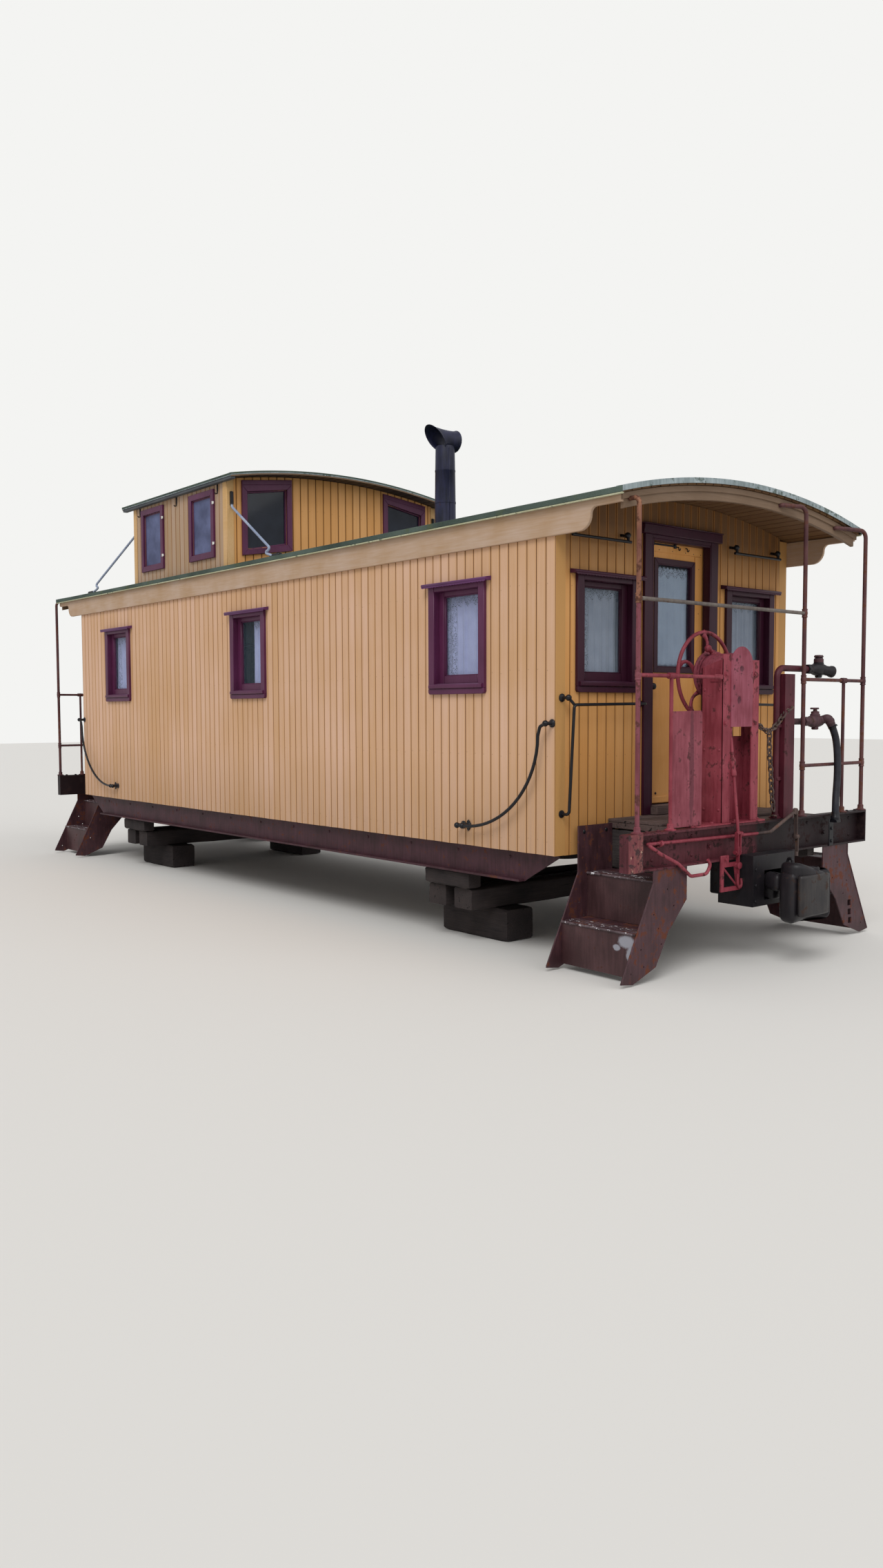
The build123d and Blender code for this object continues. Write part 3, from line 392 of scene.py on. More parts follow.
def finish(name, roughness, **fixed):
    """An empty finish: the material, the function that adds nodes to it, and the object's own coordinates."""
    made = bpy.data.materials.new(name)
    made.use_nodes = True
    inputs = made.node_tree.nodes["Principled BSDF"].inputs
    for socket, value in {"Roughness": roughness, "Specular IOR Level": GLOSS, **fixed}.items():
        inputs[socket.replace("_", " ")].default_value = value
    add = partial(node, made.node_tree)
    return made, add, add("TexCoord", take="Object")


def coat(add, colour, over, value, low, high, most=1.0, mask=None):
    """A colour with another laid over it: its share runs from 0 to most as the value goes from low to high,
    times the mask."""
    share = add("MapRange", value, low, high, 0.0, most)
    if mask is not None:
        share = add("Math", share, mask, operation="MULTIPLY")
    return add("Mix", {0: share, 6: colour, 7: over}, take=2, data_type="RGBA")


def dressed(made, colour, height=None, strength=0.0, depth=0.0, roughness=None):
    """The material with its colour, its bump of a height, and its roughness linked to its shader."""
    tree = made.node_tree
    if height is not None:
        height = node(tree, "Bump", {"Height": height, "Strength": strength, "Distance": depth})
    for socket, value in (("Base Color", colour), ("Normal", height), ("Roughness", roughness)):
        if value is not None:
            tree.links.new(value, tree.nodes["Principled BSDF"].inputs[socket])
    return made


def drawn_out(axis, share):
    """Scales for a pattern that is drawn out along one axis."""
    return tuple(share if axis == each else 1 for each in "XYZ")


def matchboard_paint(name, paint, faded, dirt, across, gap="#5A3218", fresh="#C09058", roof_shade=None,
                     edge="#B88A52"):
    """Alkyd paint brushed on softwood matchboard: every board a little different, chalky, dirty at its foot, and
    where two heights are given, darker from the one to the other: painted shade of the roof over the wall's top."""
    made, add, place = finish(name, 0.62)
    apart = add("SeparateXYZ", place, take=None)
    boards = add("Math", apart[across], BOARD, operation="DIVIDE")
    number = add("Math", boards, operation="FLOOR")
    tint = add("TexWhiteNoise", {"W": number}, take="Value", noise_dimensions="1D")
    brushed = add("Mapping", {"Vector": place, "Scale": drawn_out("Z", 0.035)})
    streak = add("TexNoise", {"Vector": brushed, "Scale": 1 / 0.018, "Detail": 4.0})
    cloud = add("TexNoise", {"Vector": place, "Scale": 1 / 0.8, "Detail": 3.0})
    both = add("Math", streak, 0.55, cloud, operation="MULTIPLY_ADD")
    worn = add("Math", tint, 0.35, both, operation="MULTIPLY_ADD")
    colour = coat(add, paint, faded, worn, 0.62, 1.25)
    colour = coat(add, colour, dirt, apart["Z"], 1.5, 0.78, 0.75, streak)
    # Painted shade: from the lower height to the upper the coat darkens towards the roof, as the roof's shadow
    # would.
    if roof_shade:
        colour = coat(add, colour, "#38241A", apart["Z"], *roof_shade, 0.78)
    # Only faces that run across the boards have joints, not the boards' own edges at a corner.
    face = add("SeparateXYZ", add("NewGeometry", take="True Normal"), take=across)
    face = add("Math", face, operation="ABSOLUTE")
    face = add("Math", face, 0.95, operation="LESS_THAN")
    # Each joint is a dark line where dirt sits in the groove, and beside it the coat has kept its ochre.
    along = add("Math", boards, operation="FRACT")
    side = add("Math", along, 0.5, operation="SUBTRACT")
    side = add("Math", side, operation="ABSOLUTE")
    colour = coat(add, colour, fresh, side, 0.5 - 0.018 / BOARD, 0.5 - 0.006 / BOARD, 0.5, face)
    colour = coat(add, colour, gap, side, 0.5 - 0.0052 / BOARD, 0.5 - 0.0032 / BOARD, 0.9, face)
    colour = add("Mix", {0: face, 6: edge, 7: colour}, take=2, data_type="RGBA")
    # Nail heads: a dot 3 mm in radius, 17 mm from each board's edge, every 0.61 m up the board.
    side = add("Math", along, 0.18, operation="SUBTRACT")
    side = add("Math", side, BOARD, operation="MULTIPLY")
    high = add("Math", tint, 0.03, apart["Z"], operation="MULTIPLY_ADD")
    for operation, by in (("DIVIDE", 0.61), ("FRACT", 0.5), ("SUBTRACT", 0.5), ("MULTIPLY", 0.61)):
        high = add("Math", high, by, operation=operation)
    away = add("VectorMath", add("CombineXYZ", side, high), take="Value", operation="LENGTH")
    colour = coat(add, colour, "#6A5030", away, 0.0042, 0.0026, 0.6)
    fine = add("TexNoise", {"Vector": brushed, "Scale": 1 / 0.004, "Detail": 3.0})
    return dressed(made, colour, fine, 0.35, 0.0012)


def joinery_paint(name, paint, worn, dust_and_sheen, roughness=0.5, along="X"):
    """Gloss paint gone satin on planed joinery: streaks along the board, pale wear, and on its upper faces dust,
    which on the maroon and plum trims is a lavender painted highlight.
    """
    made, add, place = finish(name, roughness)
    brushed = add("Mapping", {"Vector": place, "Scale": drawn_out(along, 0.06)})
    streak = add("TexNoise", {"Vector": brushed, "Scale": 1 / 0.012, "Detail": 5.0})
    cloud = add("TexNoise", {"Vector": place, "Scale": 1 / 0.35, "Detail": 3.0})
    both = add("Math", streak, 0.6, cloud, operation="MULTIPLY_ADD")
    colour = coat(add, paint, worn, both, 0.58, 1.1)
    # Upper faces take another colour: dust, and on the maroon and plum trims a paler painted highlight of light
    # from above.
    facing = add("SeparateXYZ", add("NewGeometry", take="Normal"), take="Z")
    colour = coat(add, colour, dust_and_sheen, facing, 0.5, 1.0, 0.55)
    return dressed(made, colour, streak, 0.3, 0.001)


def old_iron(name, paint, faded, rust, rusted=0.5, roughness=0.55, pale=None, half=None, flaked=0.67,
             worn=(), under="#3A2A28"):
    """Brush-painted iron left outdoors: the coat fades in clouds, rust breaks through it in scabs and runs down.
    Each spot is a place at the +X end and its three half widths; the other end has them too. A spot is wear on the
    riser and the ratchet's case, darker dents on the cover, and painted shadow of a fold on the guard plate."""
    made, add, place = finish(name, roughness)
    cloud = add("TexNoise", {"Vector": place, "Scale": 1 / 0.22, "Detail": 4.0})
    hanging = add("Mapping", {"Vector": place, "Scale": drawn_out("Z", 0.12)})
    drip = add("TexNoise", {"Vector": hanging, "Scale": 1 / 0.02, "Detail": 5.0})
    both = add("Math", drip, 0.7, cloud, operation="MULTIPLY_ADD")
    colour = coat(add, paint, faded, both, 0.66, 1.05)
    if half or worn:
        apart = add("SeparateXYZ", place, take=None)
        end = add("Math", apart["X"], operation="SIGN")
    if half:
        # Past the middle of an end, on its right as one faces it, the coat is another colour.
        way = add("Math", end, apart["Y"], operation="MULTIPLY")
        colour = coat(add, colour, half, way, 0.03, 0.07, 0.93)
    scab = add("TexNoise", {"Vector": place, "Scale": 1 / 0.055, "Detail": 7.0, "Roughness": 0.66})
    scab = add("Math", cloud, 0.5, scab, operation="MULTIPLY_ADD")
    edge = 1.02 - 0.36 * rusted
    broken = add("MapRange", scab, edge, edge + 0.09, 0.0, 0.9)
    colour = add("Mix", {0: broken, 6: colour, 7: rust}, take=2, data_type="RGBA")
    if pale:
        flake = add("TexNoise", {"Vector": place, "Scale": 1 / 0.06, "Detail": 5.0, "Roughness": 0.7})
        colour = coat(add, colour, pale, flake, flaked, flaked + 0.02, 0.9)
    # Spots of another colour: wear on the riser and the ratchet's case, darker dents on the cover, painted shadow
    # on the guard plate.
    for centre, halves in worn:
        away = add("VectorMath", place, add("CombineXYZ", end, end, 1.0), operation="MULTIPLY")
        away = add("VectorMath", away, centre, operation="SUBTRACT")
        away = add("VectorMath", away, halves, operation="DIVIDE")
        away = add("VectorMath", away, take="Value", operation="LENGTH")
        away = add("Math", scab, 0.9, away, operation="MULTIPLY_ADD")
        colour = coat(add, colour, under, away, 1.8, 1.45, 0.75)
    rough = add("MapRange", broken, 0.0, 1.0, roughness, 0.92)
    grit = add("TexNoise", {"Vector": place, "Scale": 1 / 0.005, "Detail": 3.0})
    height = add("Math", broken, 0.5, grit, operation="MULTIPLY_ADD")
    return dressed(made, colour, height, 0.5, 0.0012, rough)


def rough_timber(name, light, dark, gap, along="X"):
    """Sawn timber greyed outdoors: grain drawn out along the baulk, checks along it, dirt in its pits."""
    made, add, place = finish(name, 0.86)
    drawn = add("Mapping", {"Vector": place, "Scale": drawn_out(along, 0.05)})
    grain = add("TexNoise", {"Vector": drawn, "Scale": 1 / 0.011, "Detail": 6.0, "Roughness": 0.65})
    cloud = add("TexNoise", {"Vector": place, "Scale": 1 / 0.3, "Detail": 4.0})
    both = add("Math", grain, 0.8, cloud, operation="MULTIPLY_ADD")
    colour = coat(add, dark, light, both, 0.62, 1.15)
    check = add("TexNoise", {"Vector": drawn, "Scale": 1 / 0.03, "Detail": 2.0})
    check = add("MapRange", check, 0.33, 0.29, 0.0, 1.0)
    colour = add("Mix", {0: check, 6: colour, 7: gap}, take=2, data_type="RGBA")
    return dressed(made, colour, add("Math", check, -1.2, grain, operation="MULTIPLY_ADD"), 0.7, 0.003)


def lace_cotton(name, cloth, shade, head=2.655, border=-0.1):
    """Cotton voile with a lace head above a scalloped line and a lace stripe at its left: the lace is a net of
    11 mm cells with denser flowers 40 mm across, drawn a little coarse so that it shows."""
    made, add, place = finish(name, 0.85, Sheen_Weight=0.2)
    across = add("Attribute", take="Fac", attribute_name="across")
    height = add("SeparateXYZ", place, take="Z")
    flat = add("CombineXYZ", across, height)
    net = add("TexVoronoi", {"Vector": flat, "Scale": 1 / 0.011}, feature="DISTANCE_TO_EDGE")
    gaps = add("MapRange", net, 0.08, 0.22, 0.0, 1.0)
    flower = add("TexVoronoi", {"Vector": flat, "Scale": 1 / 0.045})
    flower = add("MapRange", flower, 0.26, 0.34, 0.15, 1.0)
    gaps = add("Math", gaps, flower, operation="MULTIPLY")
    wave = add("Math", across, 2 * math.pi / 0.09, operation="MULTIPLY")
    wave = add("Math", wave, operation="SINE")
    wave = add("Math", wave, 0.014, height, operation="MULTIPLY_ADD")
    above = add("MapRange", wave, head - 0.004, head + 0.004, 0.0, 1.0)
    left = add("MapRange", across, border + 0.006, border, 0.0, 0.85)
    mask = add("Math", above, left, operation="MAXIMUM")
    opened = add("Math", gaps, mask, operation="MULTIPLY")
    stain = add("TexNoise", {"Vector": place, "Scale": 1 / 0.12, "Detail": 4.0})
    plain = add("Mix", {0: stain, 6: cloth, 7: shade}, take=2, data_type="RGBA")
    # Where the net is open, a dark grey stands for the unlit room seen through it: painted shade.
    colour = add("Mix", {0: opened, 6: plain, 7: "#5A6068"}, take=2, data_type="RGBA")
    fine = add("TexNoise", {"Vector": place, "Scale": 1 / 0.0025, "Detail": 2.0})
    return dressed(made, colour, add("Math", opened, -1.0, fine, operation="MULTIPLY_ADD"), 0.4, 0.0008)


# Alkyd on the long sides: sun has bleached it pale and pinkish.
side_paint = matchboard_paint("alkyd_paint_on_pine_sides", "#C49A72", "#D2AC92", "#8E7054", "X")
# Alkyd on the sheltered ends: still ochre, with painted shade darkening it under the roof.
end_paint = matchboard_paint("alkyd_paint_on_pine_ends", "#BE8648", "#CE9A60", "#8A663C", "Y", "#462A14",
                             "#B87C38", (2.72, 3.2))
# Alkyd on planed corner boards: no joints, only brush marks and dirt.
fascia_paint = joinery_paint("alkyd_paint_on_planed_pine", "#C0985F", "#CBA67A", "#9A8460", 0.6)
# Alkyd on the boards under the roof: dark brown, darkened as painted shade.
ceiling_paint = matchboard_paint("alkyd_paint_on_ceiling_boards", "#64462C", "#745636", "#5A4028", "Y",
                                 "#2E1C10", "#64442A")
# Alkyd on the fir doors: warm, brushed up and down.
door_paint = joinery_paint("alkyd_paint_on_fir_door", "#CA8E4A", "#D89C5C", "#927250", 0.55, "Z")
# Alkyd on the letterboards: chalked to a pinkish tan.
letter_paint = joinery_paint("alkyd_paint_on_letterboard", "#AA8B6C", "#BAA290", "#8A7660", 0.6)
# Alkyd on the bent end boards: dull brown in the roof's shade.
end_fascia_paint = joinery_paint("alkyd_paint_on_bent_pine", "#6C5642", "#7D6754", "#6C6050", 0.62, "Y")
# Alkyd on the cupola's sides: darker and greyer as painted shade under its roof's overhang.
cupola_side_paint = matchboard_paint("alkyd_paint_on_cupola_sides", "#A28567", "#AF9785", "#7A6248", "X",
                                     "#4A2E18", "#A87A48")
# Alkyd on the cupola's ends: the warmest of the coats, in full light.
cupola_end_paint = matchboard_paint("alkyd_paint_on_cupola_ends", "#C88E4E", "#D8A268", "#8A663C", "Y",
                                    "#462A14", "#BC8038")
# Alkyd under the cupola's eaves: nearly black with painted shade.
cupola_soffit_paint = matchboard_paint("alkyd_paint_on_soffit_boards", "#3E3430", "#4E443E", "#2A2220", "Y",
                                       "#1C1410", "#443A32")
# Oil paint on the eave boards: flat slate grey.
eave_paint = joinery_paint("grey_paint_on_eave_boards", "#3E4146", "#54585C", "#34302E", 0.6)
# Maroon enamel on level pine: a soft plum, with a lavender painted highlight on its upper faces.
trim_paint = joinery_paint("maroon_enamel_on_pine", "#340E22", "#441A32", "#5A3A50", 0.38)
# Maroon enamel on upright pine: the same, darker in the shade of the end.
upright_trim = joinery_paint("maroon_enamel_on_upright_pine", "#2C0C1C", "#3A1328", "#4A2C3E", 0.38, "Z")
# Maroon enamel on the sides and on the cupola: a lighter plum than at the ends, painted light of the open sky.
side_trim = joinery_paint("maroon_enamel_on_side_casings", "#4A1C3A", "#5C2A4C", "#6E5066", 0.4, "Z")
# Plum enamel on the hoods: a violet painted highlight on top.
hood_paint = joinery_paint("plum_enamel_on_pine", "#4C244A", "#643565", "#7A6080", 0.45)
# Red oxide on iron: chalked to pink, with the iron's rust in scabs.
red_iron = old_iron("chalked_red_oxide_on_iron", "#722632", "#8E3E4A", "#4A2224", 0.5)
# Red oxide on pipe: half rusted away, brown.
post_iron = old_iron("rusted_red_oxide_on_pipe", "#43252A", "#5E3A38", "#5A3424", 0.6)
# Bare steel pipe: grey and dry, with thin rust.
bar_iron = old_iron("bare_grey_pipe", "#544C48", "#6E6660", "#5A4034", 0.45)
# Red oxide on channel steel: dark, deepened with painted shade, and black past the middle of the end.
sill_iron = old_iron("red_oxide_on_channel_steel", "#42141C", "#5C2832", "#2A1818", 0.6, half="#140C10")
# Red oxide on the cover: chalky, darker in its dents.
cover_iron = old_iron("chalked_red_oxide_on_cover", "#742E3C", "#8E4858", "#4A2A2E", 0.4, under="#42202A", worn=[
    ((4.858, -0.281, 2.191), (0.03, 0.0135, 0.0145)), ((4.858, -0.227, 2.131), (0.03, 0.024, 0.024)),
    ((4.858, -0.311, 1.995), (0.03, 0.012, 0.022)), ((4.858, -0.249, 1.905), (0.03, 0.0225, 0.032))])
# Red oxide on the ratchet's case: rubbed bare where the winder's hand and the pawl meet it.
gear_iron = old_iron("rubbed_red_oxide_on_case", "#702C38", "#8C4652", "#4A282A", 0.5, under="#2E2426", worn=[
    ((4.545, -0.30, 2.185), (0.03, 0.05, 0.05)), ((4.545, -0.335, 2.12), (0.03, 0.02, 0.05))])
# Red oxide on the guard plate: a dark upright band is painted shadow of a fold.
guard_iron = old_iron("chalked_red_oxide_on_guard", "#702C38", "#8C4652", "#4A282A", 0.5, under="#54232E", worn=[
    ((4.8465, -0.774, 1.43), (0.03, 0.027, 0.42))])
# Maroon enamel on the gangway posts: deep and still smooth.
maroon_pipe = old_iron("maroon_enamel_on_posts", "#3E101C", "#521C28", "#341A1A", 0.35, 0.5)
# Orange oxide on the posts' tops: worn through to tan and rust by rain off the roof.
worn_post = old_iron("worn_orange_oxide_on_post", "#6A4034", "#94664C", "#482A20", 0.75)
# Red oxide lower on the posts: faded but whole.
faded_post = old_iron("faded_red_oxide_on_post", "#663038", "#804650", "#4E2C26", 0.6)
# Enamel on the sill's end blocks: it peels in flakes and shows pale primer.
peeled_iron = old_iron("peeled_enamel_on_end_block", "#6A343A", "#8A5650", "#33262A", 0.85, 0.7, "#B2927E",
                       flaked=0.66)
# White enamel on the step nosings: flakes left between bare treads.
nosing_iron = old_iron("flaked_white_on_step_nosing", "#46383C", "#6A5C60", "#2E2022", 0.5, 0.6, "#DAD8DC",
                       flaked=0.57)
# Enamel on the risers: brown, with one patch worn to pale grey primer.
riser_iron = old_iron("peeled_enamel_on_riser", "#3A2426", "#4E3436", "#4A2A20", 0.4, 0.5, under="#A0A2AC", worn=[
    ((4.79, -1.37, 0.285), (0.075, 0.05, 0.045)), ((4.70, -1.37, 0.235), (0.03, 0.05, 0.02)),
    ((4.82, -1.37, 0.20), (0.035, 0.05, 0.05))])
# Brown enamel on the steps' sheet steel: satin, with orange rust.
step_iron = old_iron("brown_enamel_on_sheet_steel", "#382226", "#4E3238", "#5E3220", 0.6, 0.45)
# Maroon enamel on the steel sills: dark, streaked with rust.
frame_iron = old_iron("maroon_enamel_on_steel_sill", "#32191F", "#472832", "#5A3424", 0.45)
# Black enamel on small irons: glossy, hardly rusted.
black_iron = old_iron("black_enamel_on_iron", "#0C0C10", "#18181E", "#2A1E1A", 0.15, 0.35)
# Wrought chain: bare, rusty and rough.
chain_iron = old_iron("rusty_chain_iron", "#3E3230", "#5E4C46", "#5E3A26", 0.5, 0.7)
# Sand-cast steel: coarse skin, brown-black with dry rust.
cast_steel = old_iron("sand_cast_steel", "#141216", "#221E22", "#30221E", 0.4, 0.45)
# Maroon enamel on the cocks: worn to the brown casting.
cock_iron = old_iron("worn_maroon_on_castings", "#3A282C", "#583A40", "#3E2C26", 0.5, 0.6)
# Cast knuckle: rubbed bright and greasy where it couples.
knuckle_steel = old_iron("rubbed_cast_knuckle", "#1E1C20", "#34302F", "#3A2A22", 0.5, 0.42)
# Hot-rolled sheet of the flue: blue-black scale with a purple cast where it has been hot.
flue_iron = old_iron("blued_sheet_iron", "#181A2B", "#272947", "#3A2C34", 0.2, 0.42)
# Galvanised strip: whitened by weather.
flashing_zinc = old_iron("weathered_galvanised_strip", "#727E80", "#9AA6AA", "#4A5650", 0.6, 0.5)
# Cream paint on zinc: an edge dulled by dirt.
pale_strip = old_iron("cream_paint_on_zinc_strip", "#A8A888", "#C2C2A6", "#5C6450", 0.45, 0.55)
# White enamel on the screens' steel hinges: small bright spots.
pale_hinge = old_iron("white_enamel_on_steel_hinge", "#C8C8C4", "#E0E0DC", "#7A5A44", 0.3, 0.45)
# Grey paint on the handrails: cool and half glossy.
rail_metal = old_iron("grey_painted_handrail", "#7C88A0", "#9AA4B8", "#3E3430", 0.25, 0.42)
# Brass: dulled to brown.
brass = old_iron("dulled_brass", "#4A3A24", "#6A5432", "#2E241A", 0.3, 0.45)
# Oak planks of the decks: grey-brown, open grain.
deck_timber = rough_timber("weathered_oak_planks", "#685652", "#382E2C", "#140E0E", "Y")
# Creosoted oak ties: near black from creosote and from painted shade, grain across the car.
baulk_timber = rough_timber("creosoted_oak_ties", "#38302F", "#1C181A", "#0A0808", "Y")
# Creosoted oak baulks: near black from creosote and from painted shade, grain along the car.
long_timber = rough_timber("creosoted_oak_baulks", "#38302F", "#1C181A", "#0A0808", "X")
# Peeled beams at the platforms' sides: the grey wood under old paint.
beam_timber = rough_timber("peeled_grey_beam", "#4A4442", "#221C1E", "#100C0E", "X")
# Pine floor: worn to bare brown boards.
floor_timber = rough_timber("worn_pine_floor", "#8A6E50", "#5E4834", "#2A2018", "X")
# Cotton lace at the side windows: matt, a little blue in the shade.
curtain_lace = lace_cotton("cotton_lace_curtain", "#C8CEF6", "#A4ABD4")
# Cotton lace at the end windows: greyer and darker, painted shade under the roof.
end_lace = lace_cotton("cotton_lace_end_curtain", "#B2BCCC", "#8E98AA")
# Cotton lace in the doors: the palest, its head just under the rod.
door_lace = lace_cotton("cotton_lace_door_curtain", "#C4D6EC", "#A2B4CC", 2.87, -0.3)

# Mineral felt: bitumen sheet dressed with slate grit, grey-green, which glints a little.
felt, add, place = finish("mineral_surfaced_felt", 0.88)
grit = add("TexNoise", {"Vector": place, "Scale": 1 / 0.006, "Detail": 2.0})
cloud = add("TexNoise", {"Vector": place, "Scale": 1 / 0.5, "Detail": 4.0})
both = add("Math", grit, 0.6, cloud, operation="MULTIPLY_ADD")
moss = add("TexNoise", {"Vector": place, "Scale": 1 / 0.16, "Detail": 6.0})
colour = coat(add, coat(add, "#2E3A34", "#56645C", both, 0.55, 1.05), "#4C5638", moss, 0.6, 0.7, 0.6)
dressed(felt, colour, grit, 0.6, 0.002)

# EPDM rubber: black, slightly bluish, with a dull bloom.
rubber, add, place = finish("epdm_rubber_hose", 0.5)
bloom = add("TexNoise", {"Vector": place, "Scale": 1 / 0.05, "Detail": 4.0})
colour = add("Mix", {0: bloom, 6: "#101014", 7: "#2A2C36"}, take=2, data_type="RGBA")
wraps = add("TexWave", {"Vector": place, "Scale": 1 / 0.05, "Distortion": 0.4}, take=1, bands_direction="Z")
hose_line.materials.append(dressed(rubber, colour, wraps, 0.12, 0.0008))

# Float glass seen from outside: mostly reflection, a faint green in its depth, dust that dulls it.
pane_glass, add, place = finish("dusty_float_glass", 0.06, Base_Color=linear("#5A6A78"), IOR=1.5, Alpha=0.14)
haze = add("TexNoise", {"Vector": place, "Scale": 1 / 0.08, "Detail": 4.0})
dressed(pane_glass, None, roughness=add("MapRange", haze, 0.4, 0.7, 0.04, 0.16))

# Float glass over the cupola's cabin: nearly opaque, its dark blue-grey is painted shade of the unlit cabin behind
# it, and it mirrors the sky.
cupola_pane, add, place = finish("float_glass_over_a_dark_cabin", 0.05, IOR=1.5, Alpha=0.9)
haze = add("TexNoise", {"Vector": place, "Scale": 1 / 0.15, "Detail": 3.0})
dressed(cupola_pane, add("Mix", {0: haze, 6: "#14171F", 7: "#2C323E"}, take=2, data_type="RGBA"))

# Woven aluminium screen: threads too fine to see from here, so a soft grey-blue veil with a faint weave.
insect_screen, add, place = finish("woven_insect_screen", 0.7)
cloud = add("TexNoise", {"Vector": place, "Scale": 1 / 0.2, "Detail": 3.0})
weave = add("TexNoise", {"Vector": place, "Scale": 1 / 0.004, "Detail": 1.0})
both = add("Math", weave, 0.4, cloud, operation="MULTIPLY_ADD")
dressed(insect_screen, coat(add, "#464C69", "#687095", both, 0.5, 0.95))


# Matchboard walls: upright boards with a V groove at each joint, and holes for windows and doors

GROOVE = 0.006                       # depth of the V
THICKNESS, CUPOLA_THICKNESS = 0.1, 0.06
SIDING_FOOT = 0.8
HEAD_DROP, CUPOLA_HEAD_DROP = 0.046, 0.036     # how far under the roof's arc the boards end


def grooved(low, high, fixed=()):
    """Places across a wall and how deep the face is at each: a V groove 12 mm wide and 6 mm deep between boards
    that each stand up to 1 mm back. Fixed places, such as a hole's sides, come in at the height of their board."""
    first, last = math.ceil(low / BOARD + 1e-6), math.floor(high / BOARD - 1e-6)
    joints = np.arange(first, last + 1) * BOARD
    joints = joints[(joints > low + 0.02) & (joints < high - 0.02)]
    if len(fixed):
        joints = joints[np.min(np.abs(joints[:, None] - np.asarray(fixed)), axis=1) > 0.012]
    profile = np.array([(-GROOVE, 0.0), (-0.0015, GROOVE), (0.0015, GROOVE), (GROOVE, 0.0)])
    place = np.concatenate([(joints[:, None] + profile[:, 0]).ravel(), [low, high], fixed])
    depth = np.concatenate([np.tile(profile[:, 1], len(joints)), np.zeros(2 + len(fixed))])
    order = np.argsort(place)
    place, depth = place[order], depth[order]
    back = np.random.default_rng(11).uniform(0, 0.0011, 400)
    return place, depth + back[(np.floor(place / BOARD + 1e-4).astype(int)) % 400]


def boarded(u, depth, heights, outer, thickness, holes, plane):
    """A wall from its places across, their depths and its rows of heights: the front face at the outer plane less
    the depth, the back face a thickness behind with a shallower groove. plane places (across, depth, height)."""
    u = np.broadcast_to(u, heights.shape)
    way = np.sign(outer)
    front = plane(u, outer - way * depth, heights)
    rear = plane(u, outer - way * (thickness - 0.5 * depth), heights)
    across = (u[0, :-1] + u[0, 1:]) / 2
    upward = (heights[:-1, :-1] + heights[:-1, 1:] + heights[1:, :-1] + heights[1:, 1:]) / 4
    keep = np.ones(upward.shape, bool)
    for u0, u1, z0, z1 in holes:
        keep &= ~((across > u0) & (across < u1) & (upward > z0) & (upward < z1))
    return slab(front, rear, keep)


def square_holes(centres, half, low, high):
    """Holes of one size: from and to across the wall, foot and head."""
    return [(c - half, c + half, low, high) for c in centres]


def sides_of(holes):
    """Both sides of each hole, as places across the wall."""
    return [side for hole in holes for side in hole[:2]]


def row(across, *heights):
    """Rows of heights for a wall, each level or already given at every place across it."""
    return np.array([np.broadcast_to(height, across.shape) for height in heights], float)


along_x = lambda x, y, z: np.stack(np.broadcast_arrays(x, y, z), -1)
along_y = lambda y, x, z: np.stack(np.broadcast_arrays(x, y, z), -1)

SIDE_WINDOWS, END_WINDOWS = (3.09, -0.06, -3.07), (-0.87, 0.87)
HOLE_LOW, HOLE_HIGH, HOLE_HALF = 2.03, 2.785, 0.28
holes = square_holes(SIDE_WINDOWS, HOLE_HALF, HOLE_LOW, HOLE_HIGH)
across, depth = grooved(-WALL, WALL, sides_of(holes))
worn_foot = SIDING_FOOT + np.interp(across, np.arange(-43, 44) * BOARD, rng.uniform(0, 0.003, 87))
rows = row(across, worn_foot, SIDING_FOOT + 0.003, HOLE_LOW, HOLE_HIGH, roof_under(SIDE, HEAD_DROP))
left_siding = boarded(across, depth, rows, -SIDE, THICKNESS, holes, along_x)
piece("left_siding", left_siding, side_paint, "siding", stands_for="left_wall")
piece("right_siding", turned(left_siding), side_paint, "siding", stands_for="right_wall")

DOOR_LEFT, DOOR_RIGHT, DOOR_SILL, DOOR_TOP = -0.385, 0.33, 1.1, 3.1295
SILL_HALF, SILL_TOP = 0.255, 0.982     # the centre sill passes through the end wall's foot
holes = square_holes(END_WINDOWS, HOLE_HALF, HOLE_LOW, HOLE_HIGH) + [
    (DOOR_LEFT, DOOR_RIGHT, DOOR_SILL, DOOR_TOP), (-SILL_HALF, SILL_HALF, SIDING_FOOT, SILL_TOP)]
across, depth = grooved(-1.3, 1.3, sides_of(holes))
rows = row(across, SIDING_FOOT, SILL_TOP, DOOR_SILL, HOLE_LOW, HOLE_HIGH, DOOR_TOP,
           roof_under(across, HEAD_DROP))
end_siding = boarded(across, depth, rows, WALL, THICKNESS, holes, along_y)
piece("front_siding", end_siding, end_paint, "siding", stands_for="front_wall")
piece("rear_siding", turned(end_siding), end_paint, "siding", stands_for="rear_wall")

# Cupola: the same boards, their feet on the main roof and their heads under the cupola's roof
CUPOLA_FRONT, CUPOLA_BACK, CUPOLA_SIDE = -0.515, -2.655, 1.36
CUPOLA_MIDDLE = (CUPOLA_FRONT + CUPOLA_BACK) / 2
CUPOLA_WINDOWS, SASH_HALF, SASH_LOW, SASH_HIGH = (-1.029, -2.17), 0.21, 3.478, 4.05
holes = square_holes(CUPOLA_WINDOWS, SASH_HALF, SASH_LOW, SASH_HIGH)
across, depth = grooved(CUPOLA_BACK, CUPOLA_FRONT, sides_of(holes))
rows = row(across, roof_under(CUPOLA_SIDE) - 0.002, SASH_LOW, SASH_HIGH,
           cupola_under(CUPOLA_SIDE, CUPOLA_HEAD_DROP))
cupola_side = boarded(across, depth, rows, -CUPOLA_SIDE, CUPOLA_THICKNESS, holes, along_x)
piece("cupola_side_boards", mirrored(cupola_side), cupola_side_paint, "siding", stands_for="cupola_side_walls")

HOLE_INNER, HOLE_OUTER = 0.66, 1.135   # the end windows' upright sides, from the middle line


